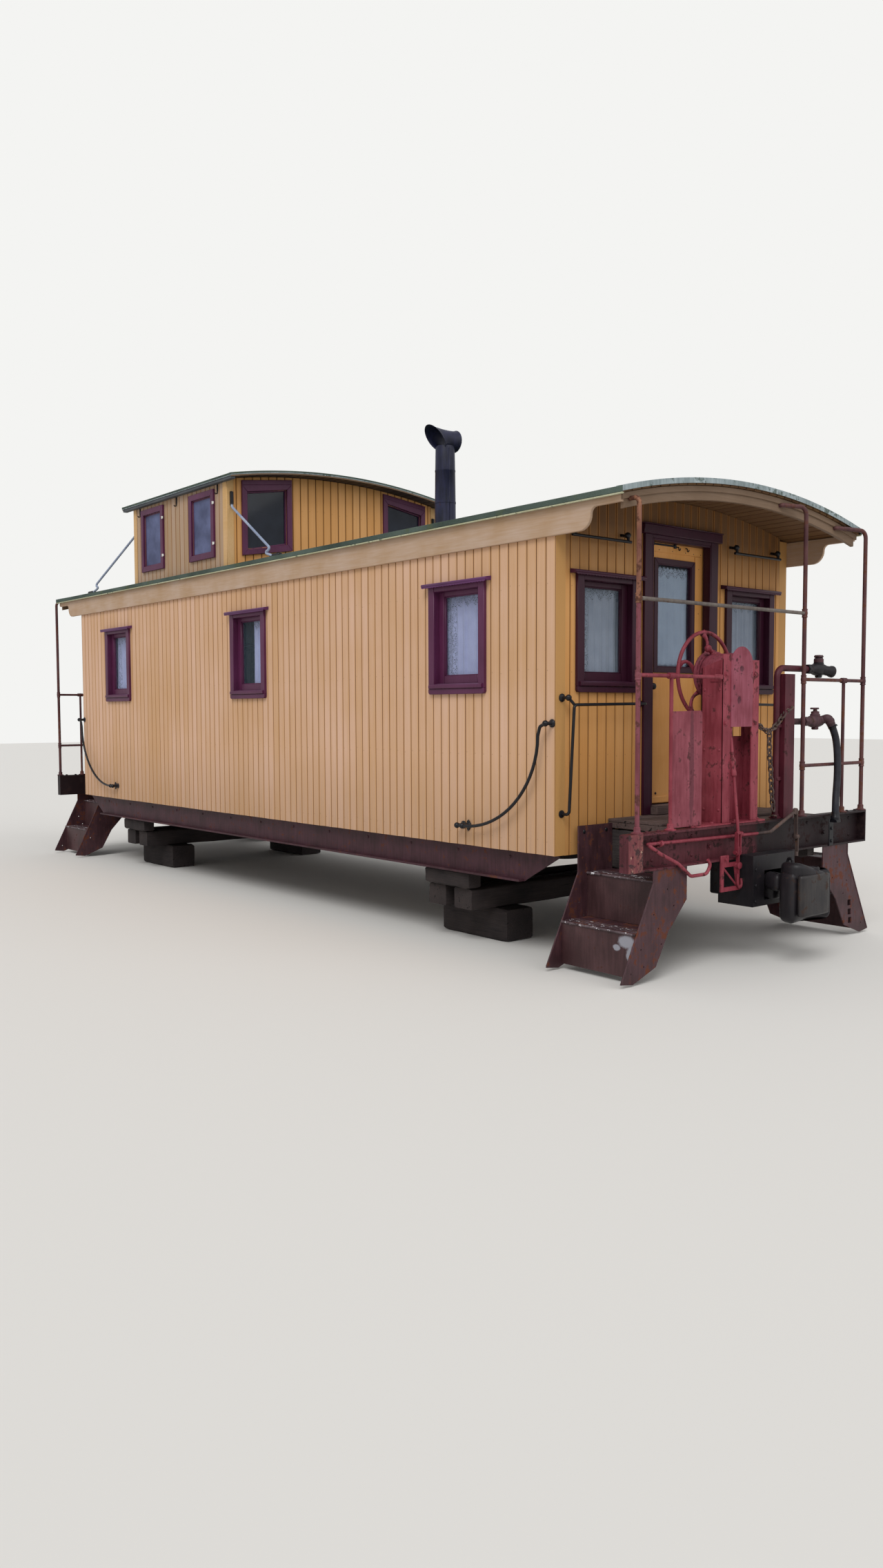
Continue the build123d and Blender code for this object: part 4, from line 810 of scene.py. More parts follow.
def cupola_ends(shape):
    """A shape at the cupola's front and its mirror image at the back."""
    return merged(shape, moved(flipped(shape, -1, 1, 1), 2 * CUPOLA_MIDDLE, 0, 0))


def end_window_line(y, foot):
    """Height of the opening's foot or head: the straight line between its corners, which stand 0.135 over the main
    roof or 0.17 under the cupola's."""
    corners = np.array([HOLE_INNER, HOLE_OUTER])
    ends = roof_under(corners) + 0.135 if foot else cupola_under(corners) - 0.17
    return ends[0] + (ends[1] - ends[0]) * (np.abs(y) - HOLE_INNER) / (HOLE_OUTER - HOLE_INNER)


across, depth = grooved(-1.3, 1.3, (-HOLE_INNER, HOLE_INNER, -HOLE_OUTER, HOLE_OUTER))
rows = row(across, roof_under(across) - 0.002, end_window_line(across, True), end_window_line(across, False),
           cupola_under(across, CUPOLA_HEAD_DROP))
rows = np.maximum.accumulate(rows, axis=0)
rows[1:3] = np.minimum(rows[1:3], rows[3] - 0.001)
centre = np.abs(across[1:] + across[:-1]) / 2
keep = np.ones((3, len(centre)), bool)
keep[1] = (centre < HOLE_INNER) | (centre > HOLE_OUTER)
piece("cupola_end_boards", cupola_ends(slab(along_y(across, CUPOLA_FRONT - depth, rows), along_y(
    across, CUPOLA_FRONT - CUPOLA_THICKNESS + 0.5 * depth, rows), keep)), cupola_end_paint, "siding",
      stands_for="cupola_end_walls")

# Corner boards of the cupola: narrow boards that cover the ends of the matchboards
corner_boards = blocks([(CUPOLA_FRONT - 0.001, CUPOLA_FRONT + 0.007, -1.366, -1.285, 3.31, 4.178),
                        (CUPOLA_FRONT - 0.075, CUPOLA_FRONT + 0.001, -1.367, -1.359, 3.31, 4.178)])
piece("cupola_corner_boards", cupola_ends(mirrored(corner_boards)), fascia_paint, "siding")


# Roofs: felt turned down over the edge, grooved boards beneath it, and strips along the edges

def arc_sheet(under, x, y, top, foot, cut=None, wave=0.0):
    """A sheet on a roof's arc: two faces below it by the drops top and foot at each y, over the places x along it.
    cut leaves a hole, x0 to x1 and |y| below a half width. wave lifts the top face by crossed sines."""
    x, y = np.meshgrid(x, y)
    top, foot = (np.broadcast_to(np.reshape(drop, (-1, 1)), y.shape) for drop in (top, foot))
    ripple = wave * (np.sin(x * 7.3 + 3 * y) + np.sin(y * 11 + x * 2.1)) / 2
    middle = (x[:-1, :-1] + x[:-1, 1:]) / 2, (y[:-1, :-1] + y[1:, :-1]) / 2
    keep = np.ones(middle[0].shape, bool)
    if cut:
        keep = ~((middle[0] > cut[0]) & (middle[0] < cut[1]) & (np.abs(middle[1]) < cut[2]))
    return slab(np.stack([x, y, under(y, top) - ripple], -1), np.stack([x, y, under(y, foot)], -1), keep)


def laps(low, high, step=0.004):
    """Places along a roof, with a pair 4 mm apart at each lap of the felt."""
    at = np.arange(math.ceil(low / FELT_WIDTH), math.floor(high / FELT_WIDTH) + 1) * FELT_WIDTH
    return np.unique(np.concatenate([np.linspace(low, high, 97), at, at + step]))


def arched(half, section, under=roof_under, steps=49):
    """A band along a roof's arc: at each y from -half to half, the section's corners as rows of x and drop."""
    y = np.linspace(-half, half, steps)
    return skin(np.stack([np.stack([np.full(steps, x), y, under(y, drop)], 1) for x, drop in section], 1))


def arc(centre, radius, start, end, steps=8):
    """Points on a flat arc between two angles in degrees."""
    angle = np.radians(np.linspace(start, end, steps + 1))
    return np.stack([centre[0] + radius * np.cos(angle), centre[1] + radius * np.sin(angle)], 1)


FELT_WIDTH = 0.92
ROOF_END = 4.8
hole = (CUPOLA_BACK + CUPOLA_THICKNESS, CUPOLA_FRONT - CUPOLA_THICKNESS, 1.3)
felt_x = np.unique(np.concatenate([laps(0.004 - ROOF_END, ROOF_END - 0.004), hole[:2]]))
felt_y = np.unique(np.concatenate([np.linspace(-1.456, 1.456, 57), (-1.3, 1.3)]))
board_y, board_depth = grooved(-1.449, 1.449, (-1.3, 1.3))
board_x = np.unique(np.concatenate([np.linspace(-4.785, 4.785, 15), hole[:2]]))
end_boards = merged(
    arched(1.4, [(4.732, 0.045), (4.757, 0.045), (4.76, 0.048), (4.76, 0.142), (4.757, 0.145), (4.732, 0.145)]),
    arched(1.425, [(4.759, 0.046), (4.770, 0.046), (4.773, 0.049), (4.773, 0.084), (4.770, 0.087),
                   (4.759, 0.087)]))
folded = [(4.745, -0.003), (4.8035, -0.003), (4.805, -0.0015), (4.805, 0.034), (4.8025, 0.034), (4.8025, 0.0),
          (4.745, 0.0)]
piece("roof_felt", arc_sheet(roof_under, felt_x, felt_y, 0, 0.008, hole, 0.0015), felt, "roofing",
      stands_for="main_roof")
piece("roof_boards", arc_sheet(roof_under, board_x, board_y, 0.0085, 0.044 - board_depth, hole),
      ceiling_paint, "roofing")
piece("eave_felt", both_ends(blocks([(-ROOF_END, ROOF_END, -1.463, -1.4525, 3.251, 3.2905)], 0.003)), felt,
      "roofing")
piece("eave_strips", both_ends(blocks([(-4.797, 4.797, -1.4605, -1.44, 3.2405, 3.2508)], 0.002)), pale_strip,
      "roofing")
piece("roof_end_boards", both_ends(end_boards), end_fascia_paint, "fascia", stands_for="roof_arch_boards")
piece("roof_end_flashing", both_ends(arched(1.461, folded)), flashing_zinc, "roofing")

# Letterboards: long boards whose ends rise to the roof's end in an ogee
ogee = np.concatenate([[(0, 3.05)], arc((4.385, 3.153), 0.103, -90, 0), arc((4.533, 3.153), 0.045, 180, 90),
                       [(4.76, 3.198), (4.76, float(roof_under(1.425, HEAD_DROP)))]])
outline = np.concatenate([ogee, ogee[:0:-1] * (-1, 1)])
piece("letterboards", both_ends(plate(outline, -1.425, -1.4005, 1, 0.0025)), letter_paint, "fascia",
      stands_for="letterboards")

# The cupola's roof: the same layers, and a thin edge of felt, metal and board
roof_y, roof_depth = grooved(-1.409, 1.409)
back, front = CUPOLA_BACK - 0.19, CUPOLA_FRONT + 0.19
piece("cupola_felt", arc_sheet(cupola_under, laps(back + 0.003, front - 0.003), np.linspace(-1.416, 1.416, 57), 0,
                               0.007, None, 0.001), felt, "roofing", stands_for="cupola_roof")
piece("cupola_roof_boards", arc_sheet(cupola_under, np.linspace(back + 0.012, front - 0.012, 9), roof_y, 0.0075,
                                      0.033 - 0.6 * roof_depth), cupola_soffit_paint, "roofing")


def cupola_edge(half, *section):
    """A band at the cupola's front edge and its back edge, from corners as x beyond the edge and drop."""
    return cupola_ends(arched(half, [(front + beyond, drop) for beyond, drop in section], cupola_under))


piece("cupola_roof_edge", merged(
    cupola_edge(1.42, (-0.04, -0.002), (0.001, -0.002), (0.003, 0.0005), (0.003, 0.013), (-0.003, 0.013),
                (-0.003, 0.001), (-0.04, 0.001)),
    mirrored(blocks([(back, front, -1.4235, -1.4145, 4.182, 4.2005)], 0.002))), felt, "roofing")
piece("cupola_edge_strip", merged(
    cupola_edge(1.418, (-0.004, 0.013), (0.0015, 0.013), (0.0015, 0.023), (-0.004, 0.023)),
    mirrored(blocks([(back, front, -1.4215, -1.41, 4.173, 4.1818)], 0.002))), flashing_zinc, "roofing")
piece("cupola_edge_boards", cupola_edge(1.414, (-0.012, 0.021), (0, 0.021), (0, 0.036), (-0.012, 0.036)),
      end_fascia_paint, "fascia")
piece("cupola_eave_boards", mirrored(blocks([(back + 0.01, front - 0.01, -1.413, -1.362, 4.146, 4.1735)], 0.003)),
      eave_paint, "fascia")

# Hooks under the cupola's eave: a short iron hanging from a small plate
hook = merged(pipe([(0, 0, 0.1), (0, 0, 0.01), (0, -0.02, 0), (0, -0.026, 0.018)], 0.0055, 0.008, 8),
              blocks([(-0.012, 0.012, 0, 0.006, 0.03, 0.1)], 0.002))
piece("eave_hooks", mirrored(repeated(hook, [(x, -1.3665, 4.046) for x in (-0.70, -1.60, -2.49)])), black_iron,
      "dark_iron")

# Smokejack: a tapering flue with a lapped seam and two bands, under a crosswise hood flared at both mouths
FLUE = (1.64, -0.3)
rows = [(0.165, 3.443), (0.165, 3.462), (0.16, 3.4665), (0.118, 3.497), (0.1055, 3.512), (0.1, 3.53),
        (0.097, 3.545), (0.096, 3.74), (0.0985, 3.742), (0.0985, 3.758), (0.0955, 3.76), (0.0925, 4.03),
        (0.0945, 4.032), (0.0945, 4.046), (0.092, 4.048), (0.089, 4.235), (0.082, 4.262)]
flue = lathe(rows, (*FLUE, 0), UP, 36)
seam = pipe([(FLUE[0] + r * 0.966, FLUE[1] - r * 0.259, z) for r, z in rows[6:-1]], 0.0045, 0, 8)


def hood_rings(inner):
    """Rings of the crosswise hood from mouth to mouth: a circle in x and z whose radius flares at both ends and
    whose y leans with the height at the slanted mouth."""
    angle = np.arange(28) * 2 * math.pi / 28
    along = np.array([(-0.118, 0.109, 0.088), (-0.112, 0.104, 0.084), (-0.085, 0.096, 0.058), (-0.04, 0.09, 0.022),
                      (0.02, 0.088, 0.0), (0.075, 0.090, 0.0), (0.108, 0.096, 0.0), (0.118, 0.101, 0.0)])
    y, radius, lean = (along[:, k:k + 1] for k in range(3))
    radius = radius - inner
    return np.stack([FLUE[0] + radius * np.cos(angle), FLUE[1] + y - lean * np.sin(angle),
                     4.322 + radius * np.sin(angle)], -1)


cross_hood = skin(np.concatenate([hood_rings(0), hood_rings(0.004)[::-1]]), closed=True)
piece("smokejack", merged(flue, seam, cross_hood), flue_iron, "flue", stands_for="smokejack", angle=50)

# Cupola handrails: a bent bar from a strap beside the end window to a foot on the roof's edge
x, y, foot_y = CUPOLA_FRONT, -1.314, -1.44
bar = pipe([(x + 0.018, y, 4.036), (x + 0.018, y, 3.9), (x + 0.965, foot_y, 3.36), (x + 0.82, foot_y, 3.347),
            (x + 0.965, foot_y, 3.305), (x + 1.05, foot_y, 3.285)], 0.0125, 0.028, 12)
strap = plate(np.concatenate([arc((y, 4.04), 0.017, 0, 180, 6), arc((y, 3.92), 0.017, 180, 360, 6)]),
              x + 0.0075, x + 0.0145)
foot_plate = merged(blocks([(x + 0.995, x + 1.125, foot_y - 0.022, foot_y + 0.026, 3.282, 3.312)], 0.008),
                    pipe([(x + 0.018, y, 4.05), (x + 0.018, y, 3.925)], 0.0185, 0, 12))
rivets = merged(*[lathe([(0.007, 0), (0.006, 0.004), (0.002, 0.006)], at, axis, 10) for at, axis in
                  (((x + 0.0145, y, 3.94), ALONG), ((x + 0.0145, y, 4.035), ALONG),
                   ((x + 1.09, foot_y, 3.302), UP))])
piece("cupola_handrails", cupola_ends(mirrored(bar)), rail_metal, "dark_iron", stands_for="cupola_handrails")
piece("handrail_straps", cupola_ends(mirrored(merged(strap, foot_plate, rivets))), black_iron, "dark_iron")


# Body windows, worked out with x along the wall, the outside towards -y and the wall's face at y = 0

def on_end(shape):
    """A quarter turn about Z, so that a window's outside faces +x."""
    points = shape[0]
    return np.stack([-points[:, 1], points[:, 0], points[:, 2]], 1), shape[1]


def at_side(shape, place):
    """A window's shape in its place on the near side wall."""
    return moved(shape, place, -SIDE, 0)


def at_wall_end(shape, place):
    """A window's shape in its place on the front wall."""
    return moved(on_end(shape), WALL, place, 0)


def six_sides(shape):
    """The shape at each window of the two side walls."""
    return both_ends(merged(*[at_side(shape, c) for c in SIDE_WINDOWS]))


def four_ends(shape):
    """The shape at each window of the two end walls."""
    return both_ends(merged(*[at_wall_end(shape, c) for c in END_WINDOWS]))


def extruded(section, places):
    """A section in y and z carried straight through places along x."""
    return skin([np.insert(np.array(section), 0, x, axis=1) for x in places])


# Upright boards, each with its mirror image: casing, lining, sash stile and the stile's inner bead
uprights = [(0.26, 0.33, -0.025, 0.001, 2.0085, 2.806), (0.2595, 0.28, -0.0242, 0.0993, 2.0303, 2.7848),
            (0.198, 0.2595, 0.03, 0.07, 2.05, 2.765), (0.19, 0.198, 0.037, 0.063, 2.11, 2.727)]
upright_boards = blocks([side for x0, x1, *rest in uprights for side in ((-x1, -x0, *rest), (x0, x1, *rest))],
                        0.0028)
# Level boards, by their half width: head casing, lining, the sash's rails and their beads, and the stool
levels = [(0.2598, -0.0235, 0.001, 2.765, 2.8055), (0.2593, 0.0012, 0.0995, 2.7645, 2.7845),
          (0.1985, 0.031, 0.069, 2.728, 2.7645), (0.1985, 0.031, 0.069, 2.0505, 2.109),
          (0.1895, 0.038, 0.062, 2.72, 2.7285), (0.1895, 0.038, 0.062, 2.1085, 2.117),
          (0.2593, 0.0325, 0.0995, 2.0305, 2.05)]
level_boards = blocks([(-half, half, *rest) for half, *rest in levels], 0.0028)
# The sill's section slopes to its nose and is undercut; the apron beneath it has rounded lower corners.
sill = extruded([(0.031, 2.0515), (-0.034, 2.0415), (-0.0395, 2.0375), (-0.0405, 2.031), (-0.0405, 2.0135),
                 (-0.0385, 2.0105), (-0.02, 2.0105), (0.0, 2.0105), (0.031, 2.03)], (-0.2592, 0.2592))
nose_section = [(-0.026, 2.0428), (-0.034, 2.0414), (-0.0393, 2.0373), (-0.0403, 2.031), (-0.0403, 2.0137),
                (-0.0383, 2.0107), (-0.026, 2.0107)]
nose = merged(extruded(nose_section, (-0.3125, -0.2594)), extruded(nose_section, (0.2594, 0.3125)))
apron = plate(np.concatenate([arc((-0.308, 1.987), 0.022, 180, 270, 5), arc((0.308, 1.987), 0.022, 270, 360, 5),
                              [(0.33, 2.008), (-0.33, 2.008)]]), -0.0275, 0.001, 1, 0.003)
casing = merged(upright_boards, level_boards, sill, nose, apron)
piece("window_casings", six_sides(casing), side_trim, "trim", stands_for="window_frames")
piece("end_window_casings", four_ends(casing), upright_trim, "trim")

# Hoods: a round-nosed board, and under its front edge a drip strip cut in shallow scallops 31 mm apart
hood_section = np.concatenate([[(0.0, 2.8065)], arc((-0.048, 2.8185), 0.012, 270, 90, 8), [(0.0, 2.8385)]])
hood_ends = [(-0.382, 0.86), (-0.3795, 0.97), (-0.376, 1.0), (0.376, 1.0), (0.3795, 0.97), (0.382, 0.86)]
along = np.linspace(-0.375, 0.375, 145)
top, scallop = np.full(145, 2.8085), 2.8005 - 0.0052 * np.abs(np.sin(np.pi * along / 0.031))
drip = skin(np.stack([np.stack([along, np.full(145, y), z], 1) for y, z in
                      ((-0.0575, top), (-0.0535, top), (-0.0535, scallop), (-0.0575, scallop))], 1))
hood = merged(skin([np.insert(hood_section * (k, 1), 0, x, axis=1) for x, k in hood_ends]), drip)
piece("window_hoods", six_sides(hood), hood_paint, "trim")
piece("end_window_hoods", four_ends(hood), trim_paint, "trim")
ROD_Y = 0.084
rod = pipe([(-0.2595, ROD_Y, 2.743), (0.2595, ROD_Y, 2.743)], 0.0045, 0, 8)
piece("curtain_rods", merged(six_sides(rod), four_ends(rod)), brass, "hardware")


# Cotton curtains: flat cloth gathered on its rod into folds that run out and drift towards the hem

def gathered(width, low, high, folds, amplitude, middle=0.0, scallops=0.0, phase=0.0):
    """A hanging cloth as a grid of across and up: depth is a sum of three sines of the place along the cloth whose
    phase drifts with the height, deepest at the hem; the head is cut in scallops when scallops is their height.
    width is what it hangs in. Gives the panel, 0.8 mm thick, and its unfolded width."""
    u, v = np.meshgrid(np.linspace(-0.5, 0.5, 97), np.linspace(0, 1, 33))
    drift = 0.35 * (1 - v) * np.sin(2.1 * u + phase)
    depth = amplitude * (0.6 + 0.4 * (1 - v)) * (
        0.6 * np.sin(2 * np.pi * (folds * u + drift) + phase)
        + 0.28 * np.sin(2 * np.pi * (1.7 * folds * u - drift))
        + 0.12 * np.sin(2 * np.pi * (2.9 * folds * u + 2 * drift) + 1.0))
    top = high - scallops * np.abs(np.sin(np.pi * 9 * u)) ** 1.5
    hem = low + 0.004 * np.sin(2 * np.pi * folds * u + 1.3 * phase)
    across = middle + width * u * (1 - 0.035 * np.sin(np.pi * v))
    grid = np.stack([across, depth, hem + (top - hem) * v], -1)
    flat = float(np.sum(np.linalg.norm(np.diff(grid[16], axis=0), axis=1)))
    return slab(grid, grid + (0, 0.0008, 0), np.ones((32, 96), bool)), flat


def hang_curtain(name, cloth, across, flat, material, body, stands_for=()):
    """The piece for a curtain, which keeps each point's place across its window for the lace's pattern."""
    made = piece(name, cloth, material, "curtain", body, stands_for, 180)
    made.data.attributes.new("across", "FLOAT", "POINT").data.foreach_set("value", np.ascontiguousarray(across))


FOLD_DEPTH = 0.0105
windows = [("side", at_side, c, curtain_lace) for c in SIDE_WINDOWS] + [
    ("end", at_wall_end, c, end_lace) for c in END_WINDOWS]
both = (("front", lambda shape: shape), ("rear", turned))
for end, place_end in both:
    for number, (where, at, place, lace) in enumerate(windows):
        # The middle window's curtain is pushed to one side.
        width, folds, middle = (0.27, 5, 0.115) if number == 1 else (0.498, 7, 0.0)
        cloth, flat = gathered(width, 2.06, 2.7385, folds, FOLD_DEPTH, middle, phase=0.9 * number)
        name = f"curtain_{end}_{where}_{number + 1}"
        hang_curtain(name, place_end(at(moved(cloth, 0, ROD_Y, 0), place)), cloth[0][:, 0], flat, lace,
                     "car", "window_curtains" if name == "curtain_front_side_1" else ())


# Cupola windows: flat casings, a sash inside them, and a pane or an insect screen

def framed(corners, depth0, depth1, width, axis):
    """Boards round a four-sided opening: each side of the outline is a plate that goes width inwards."""
    corners = np.array(corners, float)
    inner = corners + np.sign(corners.mean(0) - corners) * width
    return merged(*[plate(np.array([corners[k], corners[k - 3], inner[k - 3], inner[k]]), depth0, depth1, axis,
                          0.003) for k in range(4)])


def square(x0, x1, z0, z1):
    """The four corners of an upright opening."""
    return [(x0, z0), (x1, z0), (x1, z1), (x0, z1)]


CASING = 0.06
inner, outer = HOLE_INNER - CASING, HOLE_OUTER + CASING
foot = [(y, float(roof_under(y)) + 0.075) for y in (inner, outer)]
head = lambda low, high: [(y, float(cupola_under(y)) - down) for y, down in (
    (inner, low), (outer, low), (outer, high), (inner, high))]
front_window = foot + head(0, 0.11)[2:]
front_inner = np.array(front_window) + square(CASING, -CASING, CASING, -CASING)
front_frames = merged(framed(front_window, CUPOLA_FRONT - 0.001, CUPOLA_FRONT + 0.024, CASING, 0),
                      framed(front_inner, CUPOLA_FRONT - 0.04, CUPOLA_FRONT - 0.0005, 0.014, 0),
                      plate(head(0.1105, 0.062), CUPOLA_FRONT - 0.001, CUPOLA_FRONT + 0.0235, 0, 0.003))
side_frames = merged(*[boards for c in CUPOLA_WINDOWS for boards in (
    framed(square(c - SASH_HALF - CASING, c + SASH_HALF + CASING, SASH_LOW - CASING, SASH_HIGH + CASING), -1.384,
           -1.359, CASING, 1),
    framed(square(c - SASH_HALF, c + SASH_HALF, SASH_LOW, SASH_HIGH), -1.3595, -1.322, 0.012, 1))])
piece("cupola_casings", merged(cupola_ends(mirrored(front_frames)), mirrored(side_frames)), side_trim, "trim",
      stands_for="cupola_window_casings")
screens = blocks([(c - 0.2, c + 0.2, -1.352, -1.3505, 3.488, 4.04) for c in CUPOLA_WINDOWS], 0.0004)
piece("cupola_screens", mirrored(screens), insect_screen, "dark_iron")
hinge = merged(blocks([(-0.004, 0.026, -0.0045, 0.0, -0.013, 0.013)], 0.0015),
               pipe([(0.0, -0.005, -0.015), (0.0, -0.005, 0.015)], 0.0045, 0, 8))
piece("screen_hinges", mirrored(repeated(hinge, [(c + 0.262, -1.384, z) for c in CUPOLA_WINDOWS
                                                  for z in (3.56, 3.97)])), pale_hinge, "hardware")


# End doors, from here in s, y and z: s is the distance beyond the end wall's face

def ends(*shapes):
    """Shapes drawn in s, y and z at the +X end, and their twins turned to the far end."""
    return both_ends(moved(merged(*shapes), WALL, 0, 0))


def domes(places, radius, axis, height=0.6, around=10):
    """Rivet or bolt heads on a face: a low dome whose height is a share of its radius."""
    rows = np.array([(1, 0), (0.93, 0.4 * height), (0.62, 0.82 * height), (0.22, height)]) * radius
    return repeated(lathe(rows, (0, 0, 0), axis, around), places)


def bolts(places, radius, axis, washer=1.5):
    """Hexagon heads on round washers."""
    head = lathe(np.array([(washer, 0), (washer, 0.2)]) * radius, (0, 0, 0), axis, 14)
    top = lathe(np.array([(1, 0.15), (1, 0.75), (0.88, 0.9)]) * radius, (0, 0, 0), axis, 6)
    return repeated(merged(head, top), places)


casing = blocks([
    (0, 0.025, -0.473, -0.385, 1.04, 3.157), (0, 0.025, 0.33, 0.418, 1.04, 3.157),
    (0, 0.024, -0.385, 0.33, 3.1295, 3.157),
    (-0.047, 0.0245, -0.3855, -0.370, 1.1055, 3.1295), (-0.047, 0.0245, 0.315, 0.3305, 1.1055, 3.1295),
    (-0.047, 0.0235, -0.37, 0.315, 3.1145, 3.13),
    (-0.1, -0.047, -0.3905, -0.3853, 1.1, 3.13), (-0.1, -0.047, 0.3303, 0.3355, 1.1, 3.13)], 0.003)
head_board = blocks([(0, 0.045, -0.503, 0.448, 3.156, 3.2265), (0.0, 0.052, -0.509, 0.454, 3.2265, 3.236)])
piece("door_casings", ends(casing, head_board), upright_trim, "trim", stands_for="door_frames")
door_sill = [(0.0, 0.085, 1.04, 1.1), (-0.1, 0.0, 1.095, 1.1055), (0.0, 0.078, 1.1, 1.1055)]
piece("door_sills", ends(blocks([(s0, s1, DOOR_LEFT, DOOR_RIGHT, z0, z1) for s0, s1, z0, z1 in door_sill], 0.005)),
      deck_timber, "floorboards")

# The leaf: stiles, rails and panel, then a thin board on each side of the window, in its own body
leaf_boards = blocks([
    (-0.1, -0.0565, -0.3775, -0.2745, 1.113, 3.122), (-0.1, -0.0565, 0.2195, 0.3225, 1.113, 3.122),
    (-0.0995, -0.057, -0.2745, 0.2195, 3.0, 3.122), (-0.099, -0.0578, -0.2745, 0.2195, 1.113, 2.1275),
    (-0.0565, -0.0505, -0.366, 0.311, 1.118, 1.168), (-0.0565, -0.0515, -0.366, 0.311, 3.047, 3.118),
    (-0.0565, -0.0535, 0.222, 0.311, 1.171, 3.043), (-0.0565, -0.0535, -0.366, -0.277, 1.171, 3.043)], 0.0025)
window_frame = merged(framed(square(-0.275, 0.22, 2.125, 3.002), -0.0575, -0.0475, 0.045, 0),
                      framed(square(-0.2325, 0.1775, 2.1675, 2.9595), -0.1, -0.0525, 0.009, 0))
knob_rows = [(0.028, 0), (0.028, 0.003), (0.024, 0.0055), (0.0105, 0.007), (0.0095, 0.02), (0.015, 0.026),
             (0.0235, 0.033), (0.0262, 0.041), (0.0225, 0.0505), (0.0135, 0.0555), (0.005, 0.0568)]
knobs = merged(lathe(knob_rows, (-0.0555, -0.3175, 2.018), ALONG, 24),
               lathe(knob_rows, (-0.1, -0.3175, 2.018), (-1, 0, 0), 24),
               blocks([(-0.0565, -0.0535, -0.33, -0.305, 1.93, 1.975)], 0.001))
hook_line = np.array([(-0.052, 0, 0.012), (-0.036, 0, 0.01), (-0.034, 0, -0.012), (-0.022, 0, -0.016),
                      (-0.018, 0, 0)])
hooks = [pipe(hook_line + (0, y, z), 0.0042, 0.006, 8) for y, z in ((-0.005, 3.088), (0.101, 3.086))]
bolt_bar = blocks([(-0.0515, -0.044, -0.315, -0.03, 3.096, 3.110), (-0.0515, -0.04, -0.05, -0.022, 3.086, 3.114),
                   (-0.0515, -0.04, -0.31, -0.285, 3.09, 3.114)], 0.002)
leaf_bolts = merged(
    bolts([(-0.0578, y, 1.192) for y in (-0.235, -0.03, 0.175)], 0.008, ALONG, 1.3),
    domes([(-0.0515, y, 3.063) for y in (-0.33, -0.22, -0.06, 0.1, 0.2, 0.29)], 0.0045, ALONG),
    domes([(-0.0535, y, z) for y in (-0.32, 0.27) for z in (1.5, 2.25, 2.6, 2.95)], 0.004, ALONG))
HINGES, PIN = (1.3, 2.1, 2.9), (-0.109, 0.326)
leaf_hinges = merged(
    repeated(pipe([(*PIN, 0.0005), (*PIN, 0.0445)], 0.008, 0, 12), [(0, 0, z) for z in HINGES]),
    blocks([(-0.105, -0.1002, 0.271, 0.324, z + 0.0005, z + 0.0445) for z in HINGES], 0.0012),
    repeated(lathe([(0.0085, -0.004), (0.0085, 0), (0.006, 0.0)], (0, 0, 0), UP, 10),
             [(*PIN, z + 0.0485) for z in HINGES]))
cloth, flat = gathered(0.398, 2.176, 2.944, 6, 0.0042, -0.0275, 0.012, 0.7)
lace = on_end(moved(cloth, 0, 0.0889, 0))
for end, place_end in both:
    door = end + "_door"
    at_end = lambda shape: place_end(moved(shape, WALL, 0, 0))
    piece(door, at_end(leaf_boards), door_paint, "siding", door + "_leaf", door)
    for name, shape, material, slot in (
            ("window_frame", window_frame, upright_trim, "trim"), ("knobs", knobs, black_iron, "dark_iron"),
            ("hooks", merged(*hooks, bolt_bar), black_iron, "dark_iron"),
            ("bolts", leaf_bolts, chain_iron, "hardware"), ("hinges", leaf_hinges, brass, "hardware")):
        piece(f"{door}_{name}", at_end(shape), material, slot, door + "_leaf")
    hang_curtain(door + "_lace", at_end(lace), cloth[0][:, 0], flat, door_lace, door + "_leaf",
                 door + "_curtain")


# Platforms: planks on timbers, an end sill of channel, steps, railings and the brake gear

DECK, DECK_TOP = 0.85, 1.0155      # the deck's half width, and where the iron stands
PLANK, BEAM = 0.1265, 0.2125       # pitches of the planks and of the timbers under them
UNEVEN = ((0.004, 0.0, 0.0), (0.0, 0.009, -0.002), (0.011, 0.003, 0.001), (0.002, 0.006, -0.001))
planks = [(k * PLANK + 0.002, (k + 1) * PLANK - 0.0015, -DECK + short, DECK - cut, 1.0145, 1.0385 + lift)
          for k, (short, cut, lift) in enumerate(UNEVEN)]
beams = [(0, 0.6575, k * BEAM - DECK + 0.001, (k + 1) * BEAM - DECK - 0.001, 0.9705, 1.0145) for k in range(8)]
piece("deck_planks", ends(blocks(planks + beams, 0.005)), deck_timber, "floorboards", stands_for="platform_decks")


def baulk(x0, x1, y0, y1, z0, z1, seed, along=0, rough=0.0035, edge=0.011):
    """A sawn timber along x or y: at each step along it a section of twelve points, cut at the corners and drawn in
    by up to the roughness, which only ever takes wood away."""
    low, high = np.array([x0, y0, z0], float), np.array([x1, y1, z1], float)
    across = [a for a in range(3) if a != along]
    half, centre = (high - low)[across] / 2, (high + low)[across] / 2
    corner = np.array([(1, 1), (-1, 1), (-1, -1), (1, -1)])
    section = []
    for k, c in enumerate(corner):
        pair = [c * (half - (edge, 0)), c * (half - (0, edge))]
        section += (pair[::-1] if k % 2 == 0 else pair) + [(c + corner[(k + 1) % 4]) / 2 * half]
    wear = 1 - np.random.default_rng(seed).uniform(0, rough, (13, 12, 1)) / np.abs(half).min()
    wear[[0, -1]] -= 0.4 * edge / np.abs(half).min()
    rings = np.empty((13, 12, 3))
    rings[..., along] = np.linspace(low[along], high[along], 13)[:, None]
    rings[..., across] = centre + np.array(section) * wear
    return skin(rings)


side_beams = [baulk(0.001, 0.6565, *sorted((side * 0.7505, side * DECK)), 0.671, 0.9695, 20 + side, 0, 0.004)
              for side in (-1, 1)]
piece("side_beams", ends(*side_beams), beam_timber, "timber")

